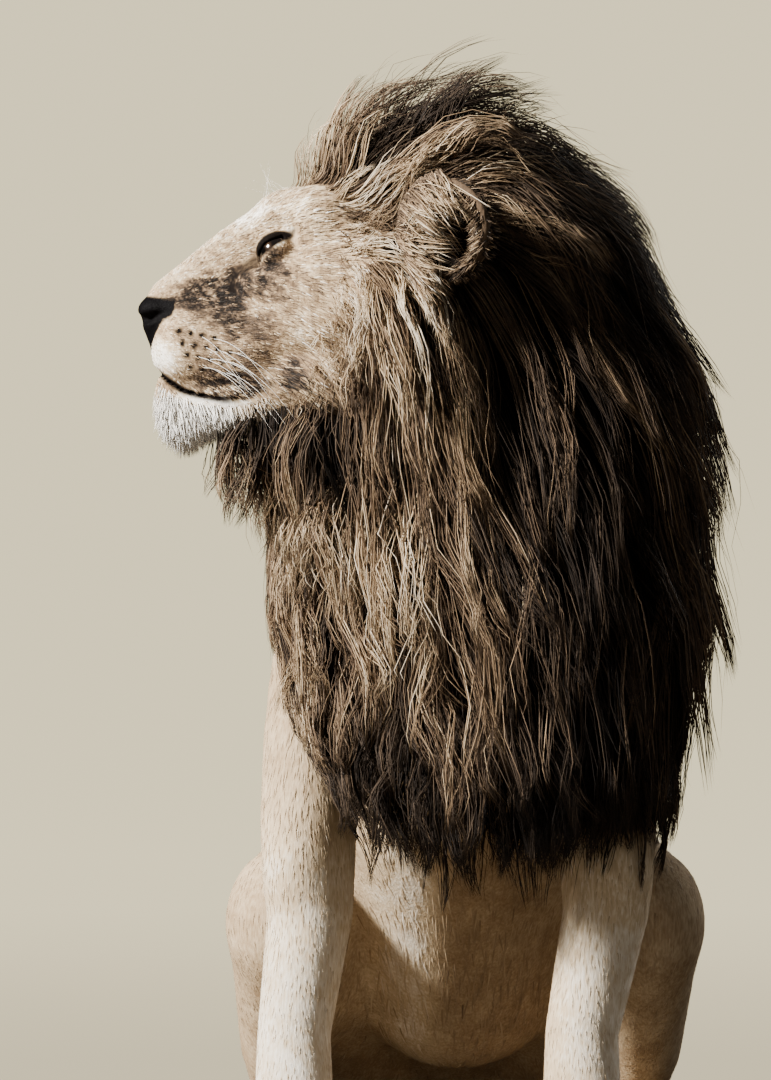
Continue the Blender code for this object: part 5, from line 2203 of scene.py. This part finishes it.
@dataclass
class Trimmings:
    """Beard, ear fringes, whiskers, claws and the tail's tuft."""

    skin: Skin
    marks: MarkingsLightAndShade
    shift: Array
    beard_tufts: int = 4200
    beard_shape: HairShape = HairShape(width=0.0009, flat=0.22, belly=0.8, tip=0.1)
    fringe_hairs: tuple = (560, 860, 480)
    fringe_leaders: int = 70
    fringe_shape: HairShape = HairShape(width=0.0006, flat=0.8, belly=0.9, tip=0.5)
    whisker_shape: HairShape = HairShape(width=0.00028, flat=1.0, belly=0.8, tip=0.25)
    whisker_points: int = 10
    brush_hairs: int = 1000
    brush_shape: HairShape = HairShape(width=0.0009, flat=0.8, belly=0.9, tip=0.35)
    claw_radius: float = 0.0042
    claw_rings: int = 7
    claw_sides: int = 10

    def beard(self, random: Generator, material: Material) -> Object:
        """Long soft white hair of the chin.

        Args:
            random: where chance comes from.
            material: its finish.

        Returns:
            The piece.
        """
        head, skin = self.skin.head, self.skin
        pores = Pores(*skin.head_net, random)
        place = head.to_head(pores.middles)
        x, z = place[:, 0], place[:, 2]
        line = np.array(head.lip_line[::-1])
        below = np.interp(x, line[:, 0], line[:, 1]) - z
        weights = step_up(0.165, 0.215, x) * step_up(0.004, 0.008, below)
        roots = pores.draw(weights, self.beard_tufts)
        count = len(roots)
        place = head.to_head(roots)
        ways = np.array([-0.3, 0.0, -1.0]) + random.normal(0, 0.12, (count, 3))
        forward = 0.25 * step_up(0.24, 0.28, place[:, 0])
        ways = ways + np.stack([forward, place[:, 1] * 3, np.zeros(count)], 1)
        ways = head.turned(unit(ways))
        peak = np.exp(-(((place[:, 0] - 0.264) / 0.022) ** 2))
        lengths = (
            random.uniform(0.011, 0.02, count) + 0.015 * step_up(-0.128, -0.15, place[:, 2]) * peak
        )
        lengths *= 0.55 + 0.45 * step_up(0.17, 0.22, place[:, 0])
        out = skin.slope(roots)
        share = np.linspace(0, 1, 5)[None, :, None]
        bend = unit(ways + out * 0.22)
        bent = bend[:, None] * share * (1 - share * 0.5) + ways[:, None] * share**2 * 0.5
        paths = roots[:, None] - out[:, None] * 0.001 + lengths[:, None, None] * bent
        leaders = random.integers(0, count, count)
        near = np.linalg.norm(roots - roots[leaders], axis=1) < 0.02
        pull = (near * 0.5)[:, None, None] * share**1.5
        paths = paths * (1 - pull) + paths[leaders] * pull
        tone = np.clip(
            0.66 + 0.4 * step_up(0.185, 0.225, place[:, 0]) + random.normal(0.01, 0.02, count), 0, 1
        )
        tones = np.repeat(tone[:, None], 5, 1)
        start, end = head.to_stance(np.array([[0.12, 0, -0.12], [0.3, 0, -0.15]]))
        paths, flat = paths + self.shift, around(roots, start, end)
        return hair_piece(
            "beard", paths, out, np.ones(count), self.beard_shape, tones, flat, material
        )

    def ear_fringe(self, random: Generator, side: Side, material: Material) -> Object:
        """Hair on the ear's rim and back, and the long hair across its front.

        Args:
            random: where chance comes from.
            side: which ear.
            material: its finish.

        Returns:
            The piece.
        """
        head = self.skin.head
        count, inner = sum(self.fringe_hairs), self.fringe_hairs[0]
        kind = np.repeat([0, 1, 2], self.fringe_hairs)
        inside, front = kind == 0, kind == 1
        turn = np.where(
            front, random.uniform(-0.75, 1.45, count), random.uniform(-math.pi, math.pi, count)
        )
        turn = np.where(inside, math.pi + random.uniform(-1.5, 1.2, count), turn)
        turn = (turn + math.pi) % (2 * math.pi) - math.pi
        deep = random.random(count)
        reach = np.where(front, 1.22 - 0.26 * deep, 1.0 - 0.06 * deep)
        reach = np.where(inside, 0.7 + 0.3 * deep, reach)
        face = 0.013 + 0.008 * np.sqrt(np.clip(1 - reach**2, 0, 1))
        bowl = 0.028 - 0.034 * np.sqrt(np.clip(1 - (reach * 1.081) ** 2, 0, 1))
        level = np.where(front, 0.017 - 0.02 * np.abs(0.4 - deep), 0.015 - 0.026 * deep)
        level = np.where(inside, np.minimum(face, bowl) - 0.001, level)
        forward, upward, ones = np.cos(turn), np.sin(turn), np.ones(count)
        rim = np.stack([forward * 0.0465 * reach, level, upward * 0.0495 * reach], 1)
        outward = np.stack([forward, ones * 0.5, upward], 1)
        low_side, high_side = np.clip(-upward, 0, 1), np.clip(upward, 0, 1)
        falling = -0.1 - 0.75 * high_side - 0.6 * low_side
        over = np.stack([-1.0 + 0.45 * low_side, ones * 0.1, falling], 1)
        along_wall = np.stack([0.3 - 0.25 * forward, ones * 0.3, -0.55 - 0.25 * upward], 1)
        past_rim = np.stack([forward * 0.45 - 0.45, ones * -0.4, upward * 0.45 - 0.45], 1)
        ways = np.where(inside[:, None], along_wall, np.where(front[:, None], over, past_rim))
        ways = unit(ways) + random.normal(0, 0.2, (count, 3))
        lengths = np.where(front, 0.034 + 0.042 * random.random(count), 0.0085)
        lengths = np.where(inside, 0.014, lengths) * random.uniform(0.5, 1.35, count)
        share = np.linspace(0, 1, 5)[None, :, None]
        bow = np.where(inside, 0.2, np.where(front, 0.35, 0.3))[:, None]
        curve = unit(unit(ways) + unit(outward * [0.3, 1, 0.3]) * bow)
        bent = curve[:, None] * share * (1 - 0.5 * share) + unit(ways)[:, None] * 0.5 * share**2
        local = rim[:, None] + lengths[:, None, None] * bent
        leader = inner + random.integers(0, self.fringe_leaders, count)
        gap = np.linalg.norm(rim[leader] - rim, axis=1)
        for _ in range(12):
            other = inner + random.integers(0, self.fringe_leaders, count)
            nearer = np.linalg.norm(rim[other] - rim, axis=1)
            leader, gap = np.where(nearer < gap, other, leader), np.minimum(nearer, gap)
        pull = ((front & (gap < 0.018)) * 0.7)[:, None, None] * share**1.2
        local = local * (1 - pull) + local[leader] * pull
        shaded = step_up(-0.2, -0.9, np.sin(turn)) * 0.15
        tone = (
            np.select([inside, front], [0.44 - shaded, 0.58 - shaded], 0.3)
            + random.normal(0, 0.15, count)
        )
        tones = np.clip(tone[:, None] + np.array([-0.26, -0.12, 0.0, 0.06, 0.1])[None], 0, 1)
        turned = np.stack(
            [*rotated(local[..., 0], local[..., 1], head.ear_turn), local[..., 2]], -1
        )
        turned = (turned + np.array(head.ear_place)) * [1, side.value, 1]
        paths = head.to_stance(turned.reshape(-1, 3)).reshape(turned.shape)
        out = head.turned(outward * [1, side.value, 1])
        roots = np.stack([turn / (2 * math.pi) + 0.5, deep], 1)
        name, paths, out = f"ear_fringe_{side.word}", paths + self.shift, unit(out)
        return hair_piece(name, paths, out, ones, self.fringe_shape, tones, roots, material)

    def whiskers(self, random: Generator, material: Material) -> Object:
        """Stiff white hairs of the lip and brow.

        Args:
            random: where chance comes from.
            material: its finish.

        Returns:
            The piece.
        """
        head, grid = self.skin.head, self.skin.head_grid
        paths, places, widths = [], [], []
        share = np.linspace(0, 1, self.whisker_points)[:, None]
        lip = [spot for spot in self.marks.whisker_spots() if 0.205 < spot[0] < 0.246]
        spots = [((x, 0.062, z), (-0.85, 0.52, -0.2), 0.082, 1.0, 0.8) for x, z in lip]
        for k in range(5):
            brow = (0.16 + 0.009 * k, 0.036 - 0.002 * k, 0.08)
            spots.append((brow, (0.85 - 0.22 * k, 0.25, 0.55), 0.034, 0.5, -0.1))
        for sign in (side.value for side in Side):
            for spot, way, length, width, droop in spots:
                root = np.array([spot])
                for _ in range(12):
                    where = root * [1, sign, 1]
                    root = root - unit(grid.slope(where) * [1, sign, 1]) * grid.at(where)[:, None]
                way = unit(np.array([way]) + random.normal(0, 0.14, (1, 3)))[0]
                size = length * random.uniform(0.65, 1.2)
                sag = np.array([-0.05, -0.1, -0.75]) * size * share**2 * droop
                line = (root[0] + way * size * share + sag) * [1, sign, 1]
                paths.append(head.to_stance(line) + self.shift)
                places.append(random.random(2))
                widths.append(width)
        paths, places, widths = np.array(paths), np.array(places), np.array(widths)
        out = unit(np.tile([0.1, 0.2, 1.0], (len(paths), 1)))
        tones = np.full(paths.shape[:2], 0.98)
        return hair_piece(
            "whiskers", paths, out, widths, self.whisker_shape, tones, places, material
        )

    def tail_tuft(self, random: Generator, material: Material) -> Object:
        """Dark brush at the end of the tail.

        Args:
            random: where chance comes from.
            material: its finish.

        Returns:
            The piece.
        """
        path, count = self.skin.body.tail_path()[-3:], self.brush_hairs
        place = random.random(count) ** 0.7
        core = np.stack([np.interp(place * 2, [0, 1, 2], path[:, axis]) for axis in range(3)], 1)
        turn = random.uniform(-math.pi, math.pi, count)
        out = np.stack([np.cos(turn), np.zeros(count), np.sin(turn)], 1)
        roots = core + out * [0.013, 0, 0.012]
        lengths = random.uniform(0.05, 0.1, count) * (1.15 - 0.35 * place)
        share = np.linspace(0, 1, 6)[None, :, None]
        way = unit(np.array([[-0.02, -1.0, 0.0]]) + random.normal(0, 0.07, (count, 3)))
        flare = np.sin(share * math.pi) * 0.016 * random.uniform(0.3, 1.0, count)[:, None, None]
        paths = (
            roots[:, None] + way[:, None] * lengths[:, None, None] * share + out[:, None] * flare
        )
        gather = share**2 * 0.6
        centre = paths.mean(0, keepdims=True)
        paths = paths + (centre - paths) * gather * [[[0.6, 0, 0.4]]]
        paths[..., 2] = np.maximum(paths[..., 2], FLOOR + 0.001)
        tones = np.clip(0.1 + random.normal(0, 0.04, count)[:, None] + np.zeros(6)[None], 0, 1)
        flat = np.stack([turn / (2 * math.pi) + 0.5, place], 1)
        paths, widths = paths + self.shift, np.ones(count)
        return hair_piece("tail_brush", paths, out, widths, self.brush_shape, tones, flat, material)

    def claws(self, material: Material) -> Object:
        """Claw tips between the fur of the toes.

        Args:
            material: its finish.

        Returns:
            The piece.
        """
        body = self.skin.body
        places, quads, ends = [], [], []
        rings, sides = self.claw_rings, self.claw_sides
        for side in Side:
            fore = (body.paw_x[side], *body.fore_toes)
            hind = (side.value * body.hind_paw_x, *body.hind_toes)
            for middle_x, front, _, size in (fore, hind):
                for toe in body.toes_across:
                    x = middle_x + toe * body.toe_gap * size
                    tip = front + abs(toe) * body.toe_setback - 0.0225
                    start = len(places)
                    for ring in range(rings):
                        share = ring / rings
                        places += self.claw_ring(x, tip + 0.008 - 0.016 * share, share)
                    for ring in range(rings - 1):
                        for corner in range(sides):
                            after, base = (corner + 1) % sides, start + ring * sides
                            low, high = base + corner, base + after
                            quads.append([high, low, low + sides, high + sides])
                    for ring, order in ((0, 1), (rings - 1, -1)):
                        base = start + ring * sides
                        ends.append([base + corner for corner in range(sides)][::order])
        faces = [np.array(quads), np.array(ends)]
        return piece("claws", np.array(places) + self.shift, faces, {}, material)

    def claw_ring(self, x: float, y: float, share: float) -> list:
        """Corners of one ring of a claw, which bends down and tapers.

        Args:
            x: the claw's place across.
            y: the ring's place lengthwise.
            share: how far along the claw the ring is.

        Returns:
            The corner positions.
        """
        radius = self.claw_radius * (1 - share**1.3) + 0.0003
        ring = []
        for corner in range(self.claw_sides):
            angle = corner / self.claw_sides * 2 * math.pi
            height = 0.0215 - 0.012 * share**2 + radius * 1.25 * math.sin(angle)
            ring.append((x + radius * 0.62 * math.cos(angle), y, height))
        return ring


@dataclass
class Eyes:
    """Both eyeballs."""

    head: Head
    shift: Array
    look: tuple = (0.8, 0.6, 0.0)
    sides: int = 40
    rings: int = 24

    def build(self, material: Material) -> None:
        """Makes both eyes, each looking out of its socket.

        Args:
            material: its finish.
        """
        for side in Side:
            centre = np.array(self.head.eye) * [1, side.value, 1]
            look = unit(np.array([self.look]) * [1, side.value, 1])[0]
            count, rings = self.sides, self.rings
            ring = np.arange(rings + 1) / rings * math.pi
            turn = np.arange(count) / count * 2 * math.pi
            side_axis = unit(np.cross(look, [0, 0, 1.0])[None])[0]
            up_axis = np.cross(side_axis, look)
            ahead, aside = np.cos(ring)[:, None], np.sin(ring)[:, None]
            local = [ahead * np.ones(count), aside * np.cos(turn), aside * np.sin(turn)]
            local = np.stack(local, -1).reshape(-1, 3)
            local = local[count - 1 : -(count - 1)]
            away = np.arccos(np.clip(local[:, 0], -1, 1)) / 1.2
            world = local @ np.stack([look, side_axis, up_axis]) * self.head.eye_radius + centre
            places = self.head.to_stance(world) + self.shift
            last = len(places) - 1
            index = np.arange(1, last).reshape(rings - 1, count)
            after = np.roll(index, -1, 1)
            quads = np.stack([index[:-1], index[1:], after[1:], after[:-1]], -1).reshape(-1, 4)
            front = np.stack([np.zeros(count, int), index[0], after[0]], 1)
            rear = np.stack([np.full(count, last), after[-1], index[-1]], 1)
            faces, values = [quads, np.concatenate([front, rear])], {"away": np.clip(away, 0, 1)}
            made = piece(f"eyeball_{side.word}", places, faces, values, material)
            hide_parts(f"eye_{side.word}")
            settle(made)


# ---- studio -------------------------------------------------------------------------------------


@dataclass
class Studio:
    """Floor, soft lights and the camera."""

    shift: Array
    distance: float = 12.0
    aim: tuple = (-0.0745, 0.0, 0.683)
    view_height: float = 1.08
    eye_above_aim: float = 0.32
    floor_rings: tuple = (1.0, 2.0, 3.0, 4.0, 5.0, 6.5, 8.0, 12.0, 20.0, 30.0)
    radius: float = 38.0
    curve: float = 3.0
    wall: float = 14.0
    turns: int = 64

    def build(self, material: Material) -> None:
        """Makes floor, lights, world and camera.

        Args:
            material: the floor's finish.
        """
        self.floor(material)
        self.light("key", (-4.5, -2.1, 3.6), 0.9, 1600, (1.0, 0.96, 0.9))
        self.light("fill", (3.5, -6.0, 2.2), 4.0, 24, (0.84, 0.92, 1.0))
        self.light("back", (3.2, 4.2, 3.0), 3.0, 150, (1.0, 0.98, 0.95))
        self.sky()
        self.camera()

    def floor(self, material: Material) -> None:
        """Makes the round floor, which curves up into a wall far away.

        Args:
            material: its finish.
        """
        radius, turns, curve = self.radius, self.turns, self.curve
        bend = np.linspace(0, math.pi / 2, 9)
        profile = [(r, 0.0) for r in self.floor_rings]
        profile += [
            (radius - curve + curve * math.sin(a), curve - curve * math.cos(a)) for a in bend
        ]
        profile.append((radius, self.wall))
        angle = np.arange(turns) / turns * 2 * math.pi
        rings = [
            np.stack([np.cos(angle) * r, np.sin(angle) * r, np.full(turns, z)], 1)
            for r, z in profile
        ]
        places = np.concatenate([np.zeros((1, 3)), *rings])
        index = 1 + np.arange(len(profile) * turns).reshape(-1, turns)
        after = np.roll(index, -1, 1)
        faces = np.stack([index[:-1], index[1:], after[1:], after[:-1]], -1).reshape(-1, 4)
        middle_fan = np.stack([np.zeros(turns, int), index[0], after[0]], 1)
        far = 0.55 + 0.45 * step_up(1.0, 6.0, np.hypot(places[:, 0], places[:, 1]))
        floor = piece("floor", places, [faces, middle_fan], {"far": far}, material)

    def sky(self) -> None:
        """Makes the faint even light from all around."""
        world = bpy.data.worlds.new("studio")
        world.use_nodes = True
        background = world.node_tree.nodes["Background"]
        background.inputs["Color"].default_value = (0.7, 0.8, 0.92, 1.0)
        background.inputs["Strength"].default_value = 0.07
        bpy.context.scene.world = world

    def camera(self) -> None:
        """Makes the camera, square in front of the lion and a little above it."""
        aim = Vector(self.aim) + Vector(self.shift)
        place = aim + Vector((0, -self.distance, self.eye_above_aim))
        lens = bpy.data.cameras.new("camera")
        lens.sensor_width = 36.0
        lens.lens = 36.0 * (aim - place).length / self.view_height
        lens.clip_end = 90.0
        camera = bpy.data.objects.new("camera", lens)
        camera.location = place
        camera.rotation_euler = (aim - place).to_track_quat("-Z", "Y").to_euler()
        bpy.context.scene.collection.objects.link(camera)
        bpy.context.scene.camera = camera

    def light(self, name: str, place: tuple, size: float, power: float, colour: tuple) -> None:
        """Adds a soft square light that faces the lion.

        Args:
            name: the light's name.
            place: where it stands.
            size: its side.
            power: its power in watts.
            colour: its colour.
        """
        lamp = bpy.data.lights.new(name, "AREA")
        lamp.size, lamp.energy, lamp.color = size, power, colour
        made = bpy.data.objects.new(name, lamp)
        made.location = Vector(place) + Vector(self.shift)
        made.rotation_euler = (
            Vector((0, 0, 0.6)) - Vector(place)
        ).to_track_quat("-Z", "Y").to_euler()
        bpy.context.scene.collection.objects.link(made)


FLESH = (
    "head lower_jaw nose ear_left ear_right mane_crown mane_neck mane_chest trunk rump "
    "upper_arm_left forearm_left forepaw_left upper_arm_right forearm_right forepaw_right "
    "thigh_left shank_left hindfoot_left thigh_right shank_right hindfoot_right "
    "tail_root tail_middle tail_end tail_tuft"
).split()


def main() -> None:
    """Builds the lion and its studio."""
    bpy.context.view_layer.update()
    head = Head()
    eyes = (middle("eye_left") + middle("eye_right")) / 2
    shift = eyes - head.to_stance(np.array([head.between_eyes]))[0]
    LOG.info("stance shift %s", shift)
    grain = grain_group()
    marks = MarkingsLightAndShade(head)
    skin = Skin(Body(), head, marks, shift)
    skin.build()
    mane = Mane(skin, shift)
    mane.build(np.random.default_rng(MANE_SEED))
    made = skin.dress(mane, SkinFinish().material(grain))
    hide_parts(*FLESH)
    settle(made)
    Eyes(head, shift).build(EyeFinish().material())
    for made in mane.dress(HairFinish("mane", roughness=0.62, specular=0.1).material(grain)):
        settle(made)
    coat = Coat(skin, mane, marks, shift)
    coat.build(np.random.default_rng(COAT_SEED))
    fur = HairFinish("short_coat", roughness=0.66, specular=0.16).material(grain)
    for made in coat.dress(fur):
        settle(made)
    trimmings = Trimmings(skin, marks, shift)
    pale = HairFinish("pale_hair", roughness=0.5, specular=0.4, sheen=1.0).material(grain)
    random = np.random.default_rng(TRIMMINGS_SEED)
    brush = HairFinish("tail_brush", roughness=0.5, specular=0.3).material(grain)
    extras = [
        (trimmings.beard(random, pale), "pale_fur"),
        (trimmings.ear_fringe(random, Side.LEFT, fur), "pale_fur"),
        (trimmings.ear_fringe(random, Side.RIGHT, fur), "pale_fur"),
        (trimmings.whiskers(random, pale), "pale_fur"),
        (trimmings.tail_tuft(random, brush), "dark_mane"),
        (trimmings.claws(ClawFinish().material()), "nose_leather")
    ]
    for made, slot in extras:
        settle(made)
    Studio(shift).build(StudioFinish().material())


if __name__ == "__main__":
    logging.basicConfig(level=logging.INFO, format="%(name)s: %(message)s")
    main()
